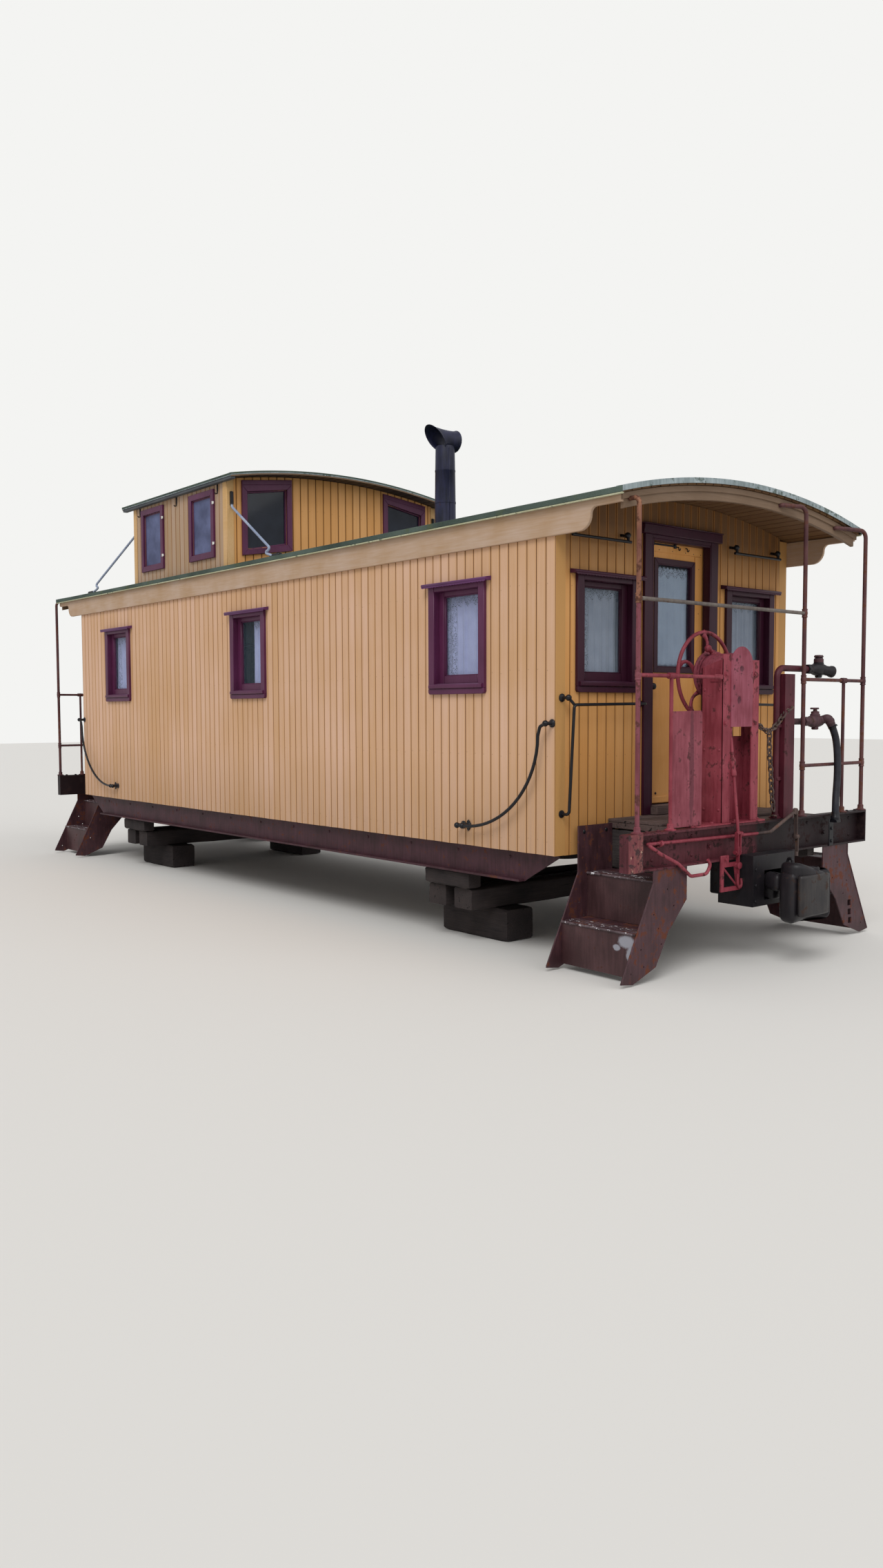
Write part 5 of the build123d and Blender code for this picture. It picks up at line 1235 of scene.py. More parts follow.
sill_block = pierced([(-1.4655, 0.7595), (-1.3245, 0.7595), (-1.3245, DECK_TOP), (-1.4655, DECK_TOP)],
                     [circle(r, 9) + (y, z) for y, z, r in (
                         (-1.40, 0.955, 0.010), (-1.428, 0.87, 0.007), (-1.372, 0.82, 0.009),
                         (-1.41, 0.80, 0.005), (-1.355, 0.90, 0.006))], 0.7365, 0.742)
piece("sill_end_blocks", ends(sill_block), peeled_iron, "red_iron")
piece("sill_rivets", ends(
    domes([(0.6705, y, z) for y in (-1.15, -0.72, 0.72, 1.1, 1.32) for z in (0.955, 0.82)], 0.013, ALONG),
    bolts([(0.70, y, DECK_TOP) for y in (-1.24, -1.12, 1.36, 1.24)], 0.012, UP),
    bolts([(0.6705, y, 0.865) for y in (-0.52, 0.55, 0.95)], 0.016, ALONG)), sill_iron, "red_iron")

# Steps: two pierced side plates with a bent front edge, treads with worn nosings, and risers
plate_outline = np.array([(1.205, 1.010), (1.205, 0.675), (1.530, 0.030), (1.410, 0.014), (1.175, 0.100),
                          (1.045, 0.325), (0.850, 0.530), (0.850, 1.010)])
low_outline = np.minimum(plate_outline, (9, 0.76))
small_holes = [circle(0.006, 8) + at for at in ((1.06, 0.62), (1.20, 0.46), (1.15, 0.36), (1.33, 0.24),
                                                (1.30, 0.12), (1.43, 0.09), (0.99, 0.50), (1.12, 0.25))]
square_openings = [np.array(square(-0.024, 0.024, -0.024, 0.024)) + at
                   for at in ((1.245, 0.275), (1.25, 0.20), (1.258, 0.13))]
top_holes = [circle(0.009, 8) + at for at in ((0.915, 0.965), (1.15, 0.965))]
inner_plate = pierced(plate_outline, top_holes + small_holes[:4], 0.0405, 0.0495)
outer_plain = pierced(low_outline, small_holes, 0.7255, 0.7345)
outer_square = pierced(low_outline, square_openings + small_holes[:3] + small_holes[5:7], 0.7255, 0.7345)
edge_line = [(1.2035, 1.008), (1.2035, 0.675), (1.5225, 0.037)]
front_edges = merged(*[pipe([(s, y, min(z, top)) for y, z in edge_line], 0.0065, 0.02, 8)
                       for s, top in ((0.042, 2.0), (0.733, 0.758))])
treads = blocks([(0.05, 0.725, 0.851, 1.118, 0.667, 0.675), (0.05, 0.725, 1.101, 1.378, 0.342, 0.350)], 0.002)
risers = blocks([(0.05, 0.725, 1.108, 1.115, 0.351, 0.668), (0.05, 0.725, 1.368, 1.375, 0.041, 0.343)], 0.0015)
ribs = repeated(blocks([(0.06, 0.715, -0.004, 0.004, 0, 0.0022)], 0.001),
                [(0, y0 + 0.03 * k, z) for z, y0 in ((0.675, 1.0), (0.350, 1.26)) for k in range(4)])
nosings = [pipe([(0.0505, y, z), (0.7245, y, z)], 0.0085, 0, 12)
           for y, z in ((1.1195, 0.6665), (1.3795, 0.3415))]
flank = lambda outer: merged(inner_plate, outer, front_edges, treads)
step_bolts = domes([(0.0495, y, 0.965) for y in (0.915, 1.15)], 0.015, ALONG, 0.4)
piece("steps", ends(flank(outer_square), flipped(flank(outer_plain), 1, -1, 1)), step_iron, "step_iron",
      stands_for="steps")
piece("step_risers", ends(mirrored(risers)), riser_iron, "step_iron")
piece("step_nosings", ends(mirrored(merged(*nosings, ribs))), nosing_iron, "step_iron")
piece("step_bolts", ends(mirrored(step_bolts)), black_iron, "dark_iron")

# Railings of pipe: the posts hook over into the roof's end board, with flanges at their feet and tees at the joints
POST, TIP, POST_FOOT = 0.705, 0.62, 1.016      # s of the posts and of their hooked tips, and the posts' feet
LEFT, MIDDLE, RIGHT = -1.345, 0.585, 1.44      # y of the posts
LOW_RAIL, RAIL, TOP_RAIL = 1.405, 2.067, 2.57  # heights of the rails
THICK, THIN = 0.0165, 0.0135                   # radii of the posts and of the rails
under_board = lambda y: float(roof_under(y)) - 0.095


def evenly(*half):
    """A turned profile from its middle outwards, with its mirror image before it."""
    return np.concatenate([np.array(half)[:0:-1] * (1, -1), half])


def flange(y):
    """The round foot of a post on the deck."""
    rows = [(0.042, 0), (0.042, 0.007), (0.028, 0.011), (0.0235, 0.0165), (0.0235, 0.0405), (0.0175, 0.0465)]
    return lathe(np.array(rows) + (0, DECK_TOP), (POST, y, 0), UP, 14)


def tee(y, z, axis=UP):
    """A cast fitting round a joint: a barrel along the rail with a bead at both ends."""
    return lathe(evenly((0.0225, 0), (0.0215, 0.008), (0.0195, 0.021), (0.0215, 0.024), (0.0215, 0.032),
                        (0.0165, 0.034)), (POST, y, z), axis, 14)


def rail(y0, z0, y1, z1, radius=THIN, around=12):
    """A straight pipe in the railing's plane."""
    return pipe([(POST, y0, z0), (POST, y1, z1)], radius, 0, around)


def hooked(y, tip):
    """A post that leans in at its head and hooks over the roof's end board."""
    z = under_board(tip)
    return pipe([(POST, y, POST_FOOT), (POST, y, z), (TIP + 0.02, tip, z), (TIP, tip, z)], THICK, 0.06, 14)


WORN, high_end = 2.59, under_board(LEFT)       # where the corner post's coat changes, and its bend
worn_top = pipe([(POST, LEFT, WORN), (POST, LEFT, high_end), (TIP, LEFT, high_end)], THICK, 0.05, 14)
piece("corner_post_tops", ends(worn_top, tee(LEFT, TOP_RAIL)), worn_post, "red_iron", stands_for="railings")
piece("corner_posts", ends(rail(LEFT, POST_FOOT, LEFT, WORN, THICK, 14), tee(LEFT, RAIL), flange(LEFT)),
      faded_post, "red_iron")
piece("upper_bars", ends(rail(LEFT, TOP_RAIL, MIDDLE, TOP_RAIL, THIN, 14)), bar_iron, "red_iron")
piece("red_rails", ends(rail(LEFT, RAIL, -0.47, RAIL), rail(-1.0, POST_FOOT, -1.0, RAIL), tee(-1.0, RAIL, ACROSS),
                        flange(-1.0), blocks([(0.688, 0.712, -0.52, -0.432, 2.05, 2.088)], 0.006)), red_iron,
      "red_iron")
piece("gangway_rails", ends(
    hooked(MIDDLE, 0.36), hooked(RIGHT, 1.11), rail(MIDDLE, RAIL, RIGHT, RAIL),
    rail(MIDDLE, LOW_RAIL, RIGHT, LOW_RAIL), rail(1.15, POST_FOOT, 1.15, RAIL), tee(MIDDLE, TOP_RAIL),
    tee(MIDDLE, RAIL), tee(RIGHT, RAIL), tee(MIDDLE, LOW_RAIL), tee(RIGHT, LOW_RAIL), tee(1.15, RAIL, ACROSS),
    flange(MIDDLE), flange(RIGHT), flange(1.15)), post_iron, "red_iron")
guard = [(-1.0, 1.028), (-0.66, 1.028), (-0.66, 1.81), (-0.672, 1.832), (-1.0, 1.826)]
piece("guard_panels", ends(plate(guard, 0.7035, 0.7065, 0, 0.001)), guard_iron, "red_iron")

# Brake stand: two channels on base plates, a dented cover with a round head, and the gear housing behind it
STAND_Y, GEAR_Z, STAND_FOOT = -0.215, 2.094, 1.027     # the stand's middle, its wheel's centre, its base's top


def channel(y, inward, top, back, tail, rear):
    """An upright channel: its web at y, its flanges turned inward, its head cut down towards the back."""
    web = plate([(rear, STAND_FOOT), (0.71, STAND_FOOT), (0.71, top - 0.03), (rear, back)],
                *sorted((y, y + 0.01 * inward)), 1, 0.0012)
    front = blocks([(0.7, 0.7105, y, y + 0.09 * inward, STAND_FOOT, top)], 0.0015)
    lip = blocks([(rear - 0.0005, rear + 0.01, y, y + tail * inward, STAND_FOOT, back)], 0.0015)
    return merged(web, front, lip)


def dished(y, z, y0, z0, wide, tall, deep):
    """A dent with a sharp rim: the root of one less the squared distance from its middle, in half widths."""
    return deep * np.sqrt(np.clip(1 - ((y - y0) / wide) ** 2 - ((z - z0) / tall) ** 2, 0, 1))


def rounded(s0, s1, y0, y1, radius, steps=5):
    """The outline of a rectangle with round corners."""
    near, far, left, right = s0 + radius, s1 - radius, y0 + radius, y1 - radius
    return np.concatenate([arc(at, radius, start, start + 90, steps) for at, start in (
        ((near, left), 180), ((far, left), 270), ((far, right), 0), ((near, right), 90))])


HEAD_Z, HEAD_HALF = 2.161, 0.129       # where the cover's round head begins, and its half width
bend = np.radians(np.linspace(0, 89.3, 26))[1:]
cover_z = np.concatenate([np.linspace(1.714, HEAD_Z, 62), HEAD_Z + HEAD_HALF * np.sin(bend)])
cover_half = np.concatenate([np.full(62, HEAD_HALF), HEAD_HALF * np.cos(bend)])
share, high = np.meshgrid(np.linspace(-1, 1, 63), cover_z)
wide = STAND_Y + share * cover_half[:, None]
dent = sum(dished(wide, high, *one) for one in (
    (-0.249, 1.905, 0.021, 0.031, 0.012), (-0.227, 2.131, 0.02, 0.02, 0.006),
    (-0.281, 2.191, 0.012, 0.013, 0.009), (-0.311, 1.995, 0.011, 0.02, 0.006)))
sway = 0.002 * np.sin(9 * wide) * np.sin(7 * high) + 0.0035 * np.abs(share) ** 12
cover = slab(np.stack([0.7185 - dent - sway, wide, high], -1), np.stack([0.7105 - dent, wide, high], -1),
             np.ones((len(cover_z) - 1, 62), bool))
number = np.arange(44)
teeth = np.stack([pivot + (0.148 + 0.009 * (number % 2)) * turn(number * 2 * np.pi / 44)
                  for pivot, turn in ((STAND_Y, np.cos), (GEAR_Z, np.sin))], 1)
gear = merged(
    lathe([(0.024, 0.369), (0.034, 0.369), (0.048, 0.376), (0.05, 0.388), (0.06, 0.396), (0.15, 0.401),
           (0.163, 0.404), (0.169, 0.411), (0.169, 0.418), (0.162, 0.424), (0.118, 0.43), (0.118, 0.445),
           (0.146, 0.452), (0.152, 0.462), (0.153, 0.49), (0.153, 0.68), (0.148, 0.695), (0.12, 0.7)],
          (0, STAND_Y, GEAR_Z), ALONG, 48),
    plate(teeth, 0.4315, 0.4435, 0, 0.001),
    lathe([(0.012, 0.36), (0.015, 0.362), (0.015, 0.374)], (0, STAND_Y, GEAR_Z), ALONG, 6))
ball = lathe(evenly((0.0275, 0), (0.0238, 0.0138), (0.014, 0.0242), (0.004, 0.0275)), (0, 0, 0), UP, 18)
pawl = merged(moved(ball, 0.47, -0.292, 2.284), moved(ball, 0.475, -0.236, 2.247),
              pipe([(0.47, -0.292, 2.284), (0.474, -0.24, 2.254), (0.478, -0.18, 2.247), (0.478, -0.12, 2.216)],
                   0.017, 0, 10),
              lathe([(0.022, 0.45), (0.028, 0.456), (0.028, 0.56), (0.022, 0.566)], (0, -0.125, 2.222), ALONG, 16),
              blocks([(0.56, 0.70, -0.20, -0.09, 2.20, 2.248)], 0.012))
base_plates = [plate(rounded(0.52, 0.737, y0, y1, 0.04), DECK_TOP, STAND_FOOT, 2)
               for y0, y1 in ((-0.77, -0.33), (-0.276, 0.086))]
piece("brake_stands", ends(
    channel(-0.43, 1, 2.229, 2.139, 0.09, 0.52), channel(0.0, -1, 2.197, 2.14, 0.03, 0.577), *base_plates,
    plate([(-0.42, 1.028), (-0.012, 1.028), (-0.012, 1.643), (-0.42, 1.643)], 0.578, 0.586, 0, 0.001), pawl),
      red_iron, "red_iron", stands_for="brake_stands")
piece("brake_covers", ends(cover), cover_iron, "red_iron", angle=60)
piece("brake_gears", ends(gear), gear_iron, "red_iron")
piece("stand_bolts", ends(
    blocks([(0.6, 0.695, -0.4365, -0.4295, 2.035, 2.128)], 0.002),
    bolts([(0.71, y, z) for y, z in ((-0.396, 2.089), (-0.4, 1.74), (-0.053, 2.098), (-0.049, 1.739))], 0.0145,
          ALONG),
    bolts([(0.66, -0.4365, 2.075)], 0.014, (0, -1, 0)),
    bolts([(s, y, STAND_FOOT) for s in (0.565, 0.675) for y in (-0.72, -0.50, -0.235, 0.045)], 0.013, UP),
    domes([(s, -0.4305, z) for s in (0.55, 0.68) for z in (1.12, 1.55, 1.98)], 0.011, (0, -1, 0))), red_iron,
      "red_iron")

# Hand wheel: a round rim, five spokes that swing out sideways by a sine, and a hub
RIM = 0.3155
around = np.arange(72) * 2 * np.pi / 72
rim = pipe(np.stack([np.full(72, 0.385), STAND_Y + RIM * np.cos(around), GEAR_Z + RIM * np.sin(around)], 1),
           0.0145, 0, 12, True)
t = np.linspace(0, 1, 13)
spokes = []
for k in range(5):
    bend = math.radians(72 * k + 96) - 0.2 * np.sin(np.pi * t)
    reach = 0.13 + 0.182 * t
    line = np.stack([0.396 - 0.011 * t, STAND_Y + reach * np.cos(bend), GEAR_Z + reach * np.sin(bend)], 1)
    widths = np.stack([0.0125 + 0.02 * (1 - t) ** 5 + 0.022 * t ** 9, 0.0095 + 0.0025 * t], 1)
    spokes.append(carried(circle(1, 10)[None] * widths[:, None], line, up=ALONG))
piece("brake_wheels", ends(rim, *spokes), red_iron, "red_iron", stands_for="brake_wheels")


# Safety chain from the stand to the gangway post, and its loose end down to the deck

def chain(points, pitch=0.042, wire=0.0068):
    """Oval links at equal steps along straight runs, each turned a quarter from its neighbour: the cosine times
    the run's way and the sine times the side across it."""
    points = np.asarray(points, float)
    lengths = np.linalg.norm(np.diff(points, axis=0), axis=1)
    total = np.concatenate([[0], np.cumsum(lengths)])
    places = (np.arange(int(total[-1] / pitch)) + 0.5) * pitch
    middle = np.stack([np.interp(places, total, points[:, k]) for k in range(3)], 1)
    along = unit(np.diff(points, axis=0))[np.clip(np.searchsorted(total, places) - 1, 0, len(lengths) - 1)]
    turn = np.arange(12) * 2 * np.pi / 12
    links = []
    for k, (centre, way) in enumerate(zip(middle, along)):
        side = unit(np.cross(way, ALONG))
        side = side if k % 2 else np.cross(way, side)
        path = centre + np.outer(np.cos(turn) * 0.0295, way) + np.outer(np.sin(turn) * 0.0175, side)
        links.append(pipe(path, wire, 0, 6, True))
    return merged(*links)


runs = [[(0.682, 0.006, 1.735), (0.684, 0.06, 1.712), (0.684, 0.115, 1.684), (0.684, 0.170, 1.672)],
        [(0.684, 0.186, 1.68), (0.686, 0.25, 1.712), (0.69, 0.31, 1.762), (0.70, 0.345, 1.81), (0.715, 0.40, 1.845),
         (0.716, 0.432, 1.872)],
        [(0.684, 0.178, 1.662), (0.684, 0.179, 1.535), (0.684, 0.2, 1.383), (0.684, 0.214, 1.231),
         (0.684, 0.232, 1.115), (0.69, 0.25, 1.045)],
        [(0.69, 0.25, 1.037), (0.66, 0.275, 1.027), (0.69, 0.295, 1.024)]]
turn = around[::6]
ring = pipe(np.stack([np.full(12, 0.684), 0.178 + 0.02 * np.cos(turn), 1.672 + 0.023 * np.sin(turn)], 1),
            0.006, 0, 8, True)
piece("gangway_chains", ends(*[chain(run) for run in runs], ring), chain_iron, "dark_iron")

# Air gear: the riser over the gangway post with its cock, and the lower cock that carries the hose

LINE, HIGH, LOW = 0.66, 2.15, 1.745        # s of the air pipes, and the heights of the two cocks
AIR = 0.0245                               # radius of the air pipes
UPPER_SCALE, LOWER_SCALE = 1.08, 1.06


def cock(y0, z, scale, tall):
    """A cast cock along y: union nut, waisted body, and a bonnet that stands up with a cap."""
    body = [(0.024, 0), (0.034, 0.004), (0.034, 0.012), (0.029, 0.016), (0.031, 0.045), (0.040, 0.062),
            (0.0455, 0.09), (0.0465, 0.13), (0.043, 0.165), (0.036, 0.195), (0.028, 0.21)]
    nut = [(0.036 * scale, -0.034), (0.0375 * scale, -0.03), (0.0375 * scale, 0), (0.036 * scale, 0.004)]
    bonnet = [(0.037, 0.02), (0.037, 0.052), (0.031, 0.058), (0.027, 0.075), (0.026, tall), (0.030, tall + 0.004),
              (0.030, tall + 0.016), (0.015, tall + 0.02), (0.0145, tall + 0.034)]
    start, neck = (LINE, y0, z), (LINE, y0 + 0.125 * scale, z)
    return merged(lathe(np.array(body) * scale, start, ACROSS, 22), lathe(nut, start, ACROSS, 6),
                  lathe(np.array(bonnet) * (scale, 1), neck, UP, 18),
                  lathe([(0.02, -0.066), (0.03, -0.062), (0.03, -0.04)], neck, UP, 6))


def mouth(start, end, radius):
    """A short pipe with a rolled lip, hollow at its end: the profile goes in again inside the lip."""
    start, end = np.asarray(start, float), np.asarray(end, float)
    length = np.linalg.norm(end - start)
    rows = [(0.85, 0), (0.9, length - 0.03), (1.05, length - 0.022), (1.08, length - 0.004), (1.02, length),
            (0.82, length), (0.78, length - 0.045)]
    return lathe(np.array(rows) * (radius, 1), start, end - start, 22)


def in_line(*points):
    """Points of a pipe in the air pipes' plane, given as y and z."""
    return [(LINE, y, z) for y, z in points]


riser = merged(pipe(in_line((0.3, 1.016), (0.3, HIGH), (0.71, HIGH)), AIR, 0.075, 16, steps=8),
               lathe([(0.045, DECK_TOP), (0.045, 1.024), (0.03, 1.03), (0.028, 1.05)], (LINE, 0.3, 0), UP, 18),
               blocks([(0.632, 0.688, 0.285, 0.34, z, z + 0.03) for z in (1.70, 1.30)], 0.004))
upper_cock = merged(cock(0.725, HIGH, UPPER_SCALE, 0.072),
                    mouth((0.672, 0.86, HIGH), (0.705, 0.985, HIGH - 0.018), 0.043))
lever = merged(blocks([(0.634, 0.688, 0.826, 0.892, 2.24, 2.262)], 0.008),
               lathe([(0.036, 0.05), (0.038, 0.056), (0.038, 0.08), (0.03, 0.088)], (LINE, 0.86, HIGH), UP, 16))
hose_start = np.array(HOSE_ROUTE[0]) - (WALL, 0, 0)
hose_way = unit(np.array(HOSE_ROUTE[1]) - HOSE_ROUTE[0])
lower_cock = merged(
    pipe(in_line((0.462, LOW), (0.69, LOW)), AIR, 0, 14), cock(0.69, LOW, LOWER_SCALE, 0.06),
    pipe([(LINE, 0.83, LOW), (0.69, 0.89, 1.757), *[tuple(hose_start - hose_way * back) for back in (0.07, 0.02)]],
         0.033, 0.05, 18, steps=7),
    lathe([(0.034, -0.045), (0.037, -0.042), (0.037, -0.03), (0.0335, -0.027), (0.0335, -0.004)], hose_start,
          hose_way, 20),
    blocks([(0.645, 0.675, 0.77, 0.86, 1.838, 1.852)], 0.005))
clamp = merged(
    lathe([(0.0295, 0.004), (0.0318, 0.005), (0.0318, 0.026), (0.0295, 0.027)], hose_start, hose_way, 24),
    bolts([hose_start + hose_way * 0.015 + (0.03, 0.012, 0.01)], 0.007, (0.2, 0.6, 1)))
rest = merged(
    blocks([(0.741, 0.75, 0.91, 0.97, 0.762, 0.975), (0.75, 0.812, 0.91, 0.97, 0.951, 0.9745)], 0.003),
    lathe([(0.0335, 0.972), (0.0345, 0.975), (0.0345, 0.995), (0.0305, 1.0), (0.0305, 1.03), (0.029, 1.034)],
          (0.78, 0.94, 0), UP, 20),
    bolts([(0.75, 0.94, 0.80), (0.75, 0.94, 0.90)], 0.011, ALONG))
piece("air_risers", ends(riser), maroon_pipe, "red_iron", stands_for="air_pipes")
piece("upper_cocks", ends(upper_cock), cast_steel, "casting")
piece("lower_cocks", ends(lower_cock, lever), cock_iron, "red_iron")
piece("hose_fittings", ends(clamp, rest), black_iron, "dark_iron")

# Brake rod with its turnbuckle and clevis, and the bracket under the sill
CLEVIS_S, CLEVIS_Y = 0.766, -0.311             # the line of the clevis and of the rod's foot
BEND, BUCKLE, FOOT = 1.654, 1.425, 0.955       # heights of the rod's bend, of its turnbuckle and of its foot
rod_line = np.array([(0.690, -0.325, 1.994), (0.700, -0.322, BEND), (CLEVIS_S, CLEVIS_Y, FOOT)])
low_way = unit(rod_line[2] - rod_line[1])
middle = rod_line[1] + (rod_line[2] - rod_line[1]) * ((BEND - BUCKLE) / (BEND - FOOT))
buckle = lathe([(0.011, -0.075), (0.016, -0.07), (0.022, -0.055), (0.023, -0.03), (0.017, -0.012), (0.0165, 0.02),
                (0.021, 0.035), (0.0215, 0.06), (0.012, 0.07)], middle, low_way, 14)


def cheek(s0, s1, y, top, foot):
    """A flat bar with rounded ends, its faces across y."""
    wide, centre = (s1 - s0) / 2, (s0 + s1) / 2
    outline = np.concatenate([arc((centre, top - wide), wide, 0, 180, 7),
                              arc((centre, foot + wide), wide, 180, 360, 7)])
    return plate(outline, y - 0.0045, y + 0.0045, 1, 0.0015)


rigging = [
    pipe(rod_line, 0.0115, 0.06, 12), buckle, cheek(0.75, 0.782, -0.327, 0.965, 0.79),
    cheek(0.75, 0.782, -0.295, 0.965, 0.79), blocks([(0.752, 0.78, -0.326, -0.296, 0.942, 0.965)], 0.004),
    cheek(0.752, 0.78, CLEVIS_Y, 0.86, 0.62),
    pipe([(CLEVIS_S, -0.345, 0.815), (CLEVIS_S, -0.277, 0.815)], 0.0095, 0, 12),
    lathe([(0.016, -0.04), (0.016, -0.036)], (CLEVIS_S, CLEVIS_Y, 0.815), ACROSS, 6),
    lathe([(0.014, -0.022), (0.025, -0.019), (0.021, -0.004), (0.021, 0.004), (0.025, 0.019), (0.014, 0.022)],
          (CLEVIS_S, CLEVIS_Y, 0.72), ALONG, 20),
    pipe([(CLEVIS_S, CLEVIS_Y, 0.66), (0.768, -0.313, 0.585), (0.768, -0.288, 0.552), (CLEVIS_S, -0.262, 0.575),
          (0.764, -0.268, 0.62)], 0.0105, 0.022, 10),
    pierced([(-0.49, 0.745), (-0.29, 0.745), (-0.29, 0.70), (-0.265, 0.54), (-0.49, 0.54)],
            [[(-0.46, 0.715), (-0.33, 0.715), (-0.302, 0.57), (-0.46, 0.57)]], 0.7425, 0.7565, 0),
    pipe([(0.75, -0.46, 0.71), (0.75, -0.305, 0.575)], 0.0075, 0, 8),
    blocks([(0.7405, 0.757, -0.49, -0.40, 0.74, 0.80)], 0.004), bolts([(0.757, -0.445, 0.772)], 0.011, ALONG)]
piece("brake_rods", ends(*rigging), red_iron, "red_iron", stands_for="brake_rigging")

# Uncoupling lever: one bent bar in two eyes, a lifting arm and its link
BAR, BAR_S, BAR_Z = 0.0125, 0.706, 0.937       # the bar's radius, and its line under the sill
EYES = (-1.1, -0.2)
lever_rod = [
    pipe([(0.762, -0.654, BAR_Z - 0.148), (0.762, -0.625, BAR_Z - 0.185), (0.762, -0.666, BAR_Z - 0.247),
          (0.762, -0.843, BAR_Z - 0.247), (0.762, -0.982, BAR_Z - 0.147), (0.762, -1.168, BAR_Z - 0.066),
          (0.756, -1.285, BAR_Z), (BAR_S, -1.24, BAR_Z), (BAR_S, 0.02, BAR_Z - 0.015)], BAR, 0.055, 12, steps=6),
    *[lathe([(0.013, -0.012), (0.023, -0.011), (0.023, 0.011), (0.013, 0.012)], (BAR_S, y, BAR_Z - 0.005), ACROSS,
            16) for y in EYES],
    blocks([(0.671, 0.69, y - 0.011, y + 0.011, BAR_Z - 0.034, BAR_Z + 0.012) for y in EYES], 0.003)]
arm = [
    pipe([(BAR_S, 0.0, BAR_Z - 0.015), (BAR_S, 0.02, BAR_Z - 0.015), (0.762, 0.09, BAR_Z - 0.005),
          (0.768, 0.395, 1.064)], BAR, 0.03, 12),
    lathe([(0.012, -0.012), (0.026, -0.01), (0.026, 0.01), (0.012, 0.012)], (0.768, 0.405, 1.067), ALONG, 16),
    cheek(0.755, 0.785, 0.412, 1.06, 0.86), cheek(0.757, 0.787, 0.424, 0.89, 0.745),
    lathe([(0.01, -0.02), (0.017, -0.018), (0.017, 0.018), (0.01, 0.02)], (0.7725, 0.418, 0.875), ACROSS, 12),
    pipe([(0.772, 0.418, 0.76), (0.774, 0.414, 0.728)], 0.0155, 0, 10)]
piece("uncoupling_rods", ends(*lever_rod), red_iron, "red_iron", stands_for="uncoupling_levers")
piece("uncoupling_arms", ends(*arm), chain_iron, "dark_iron")


# Coupler: cast pieces, whose outlines are rounded by cutting each corner at a quarter of its sides, three times

def smooth_loop(points, times):
    """A closed outline with every corner cut at a quarter and at three quarters of its sides, some times over."""
    for _ in range(times):
        points = np.asarray(points, float)
        after = np.roll(points, -1, 0)
        points = np.stack([0.75 * points + 0.25 * after, 0.25 * points + 0.75 * after], 1).reshape(-1, 2)
    return points


def cast(outline, low, high, edge, times=3):
    """A casting drawn in s and y: a smoothed outline whose rings draw in at both faces by a quarter circle."""
    outline = smooth_loop(outline, times)
    after, before = np.roll(outline, -1, 0), np.roll(outline, 1, 0)
    run = unit(after - before)
    area = np.sum(outline[:, 0] * after[:, 1] - outline[:, 1] * after[:, 0])
    inward = np.stack([-run[:, 1], run[:, 0]], 1) * (1 if area > 0 else -1)
    bend = np.radians(np.linspace(0, 90, 6))
    depth, inset = edge * (1 - np.cos(bend)), edge * (1 - np.sin(bend))
    levels = np.concatenate([low + depth, (high - depth)[::-1]])
    flat = outline + inward * np.concatenate([inset, inset[::-1]])[:, None, None]
    return skin(np.concatenate([flat, np.broadcast_to(levels[:, None, None], (*flat.shape[:2], 1))], -1))


def drooped(shape):
    """The shape with its upper half falling towards +y: 0.3 of the way past y -0.12, as far as 85 mm."""
    points = shape[0].copy()
    points[:, 2] -= np.clip(0.3 * (points[:, 1] + 0.12), 0, 0.085) * (points[:, 2] > COUPLER_Z + 0.15)
    return points, shape[1]


COUPLER_Z, SHANK = 0.525, 0.0645       # the coupler's centre line, and half the width of its shank
head_line = [(0.93, -0.02), (0.975, -0.10), (1.03, -0.18), (1.07, -0.1935), (1.135, -0.1935), (1.155, -0.165),
             (1.145, -0.08), (1.12, 0.04), (1.15, 0.15), (1.19, 0.2), (1.18, 0.228), (1.13, 0.233), (1.0, 0.19),
             (0.93, 0.1)]
knuckle_line = [(1.165, -0.165), (1.19, -0.172), (1.2145, -0.14), (1.2145, 0.0), (1.2145, 0.14), (1.205, 0.175),
                (1.17, 0.168), (1.15, 0.08), (1.15, -0.08), (1.155, -0.15)]
brow_line = [(0.95, -0.03), (1.0, -0.13), (1.06, -0.175), (1.14, -0.175), (1.19, -0.12), (1.2, 0.05),
             (1.205, 0.17), (1.18, 0.215), (1.1, 0.18), (0.98, 0.1)]
guard_arm = [(0.82, -0.05), (0.85, -0.115), (0.93, -0.15), (1.0, -0.15), (1.0, -0.05), (0.86, 0.0)]
coupler = [
    cast(head_line, COUPLER_Z - 0.199, COUPLER_Z + 0.17, 0.05),
    drooped(cast(brow_line, COUPLER_Z + 0.1, COUPLER_Z + 0.232, 0.04)),
    blocks([(0.56, 0.9, -SHANK, SHANK, COUPLER_Z - SHANK, COUPLER_Z + SHANK)], 0.014),
    blocks([(0.4, 0.56, -0.152, 0.152, 0.4605, 0.899)], 0.01),
    lathe([(0.02, 0.685), (0.026, 0.717), (0.034, 0.717), (0.038, 0.708), (0.038, 0.69)], (1.155, 0.05, 0), UP, 24),
    cast(guard_arm, COUPLER_Z + 0.01, COUPLER_Z + 0.14, 0.045),
    pipe([(0.955, 0.02, 0.72), (0.965, 0.02, 0.7615), (1.0, 0.015, 0.7615), (1.01, 0.012, 0.72)], 0.011, 0.015, 10)]
piece("couplers", ends(*coupler), cast_steel, "casting", stands_for="couplers", angle=50)
knuckle = cast(knuckle_line, COUPLER_Z - 0.147, COUPLER_Z + 0.147, 0.018, 2)
piece("knuckles", ends(knuckle), knuckle_steel, "casting", stands_for="knuckles", angle=50)
piece("striker_bolts", ends(bolts([(0.86, y, z) for y in (-0.225, 0.225) for z in (0.46, 0.575, 0.69)], 0.011,
                                  ALONG)), cast_steel, "casting")

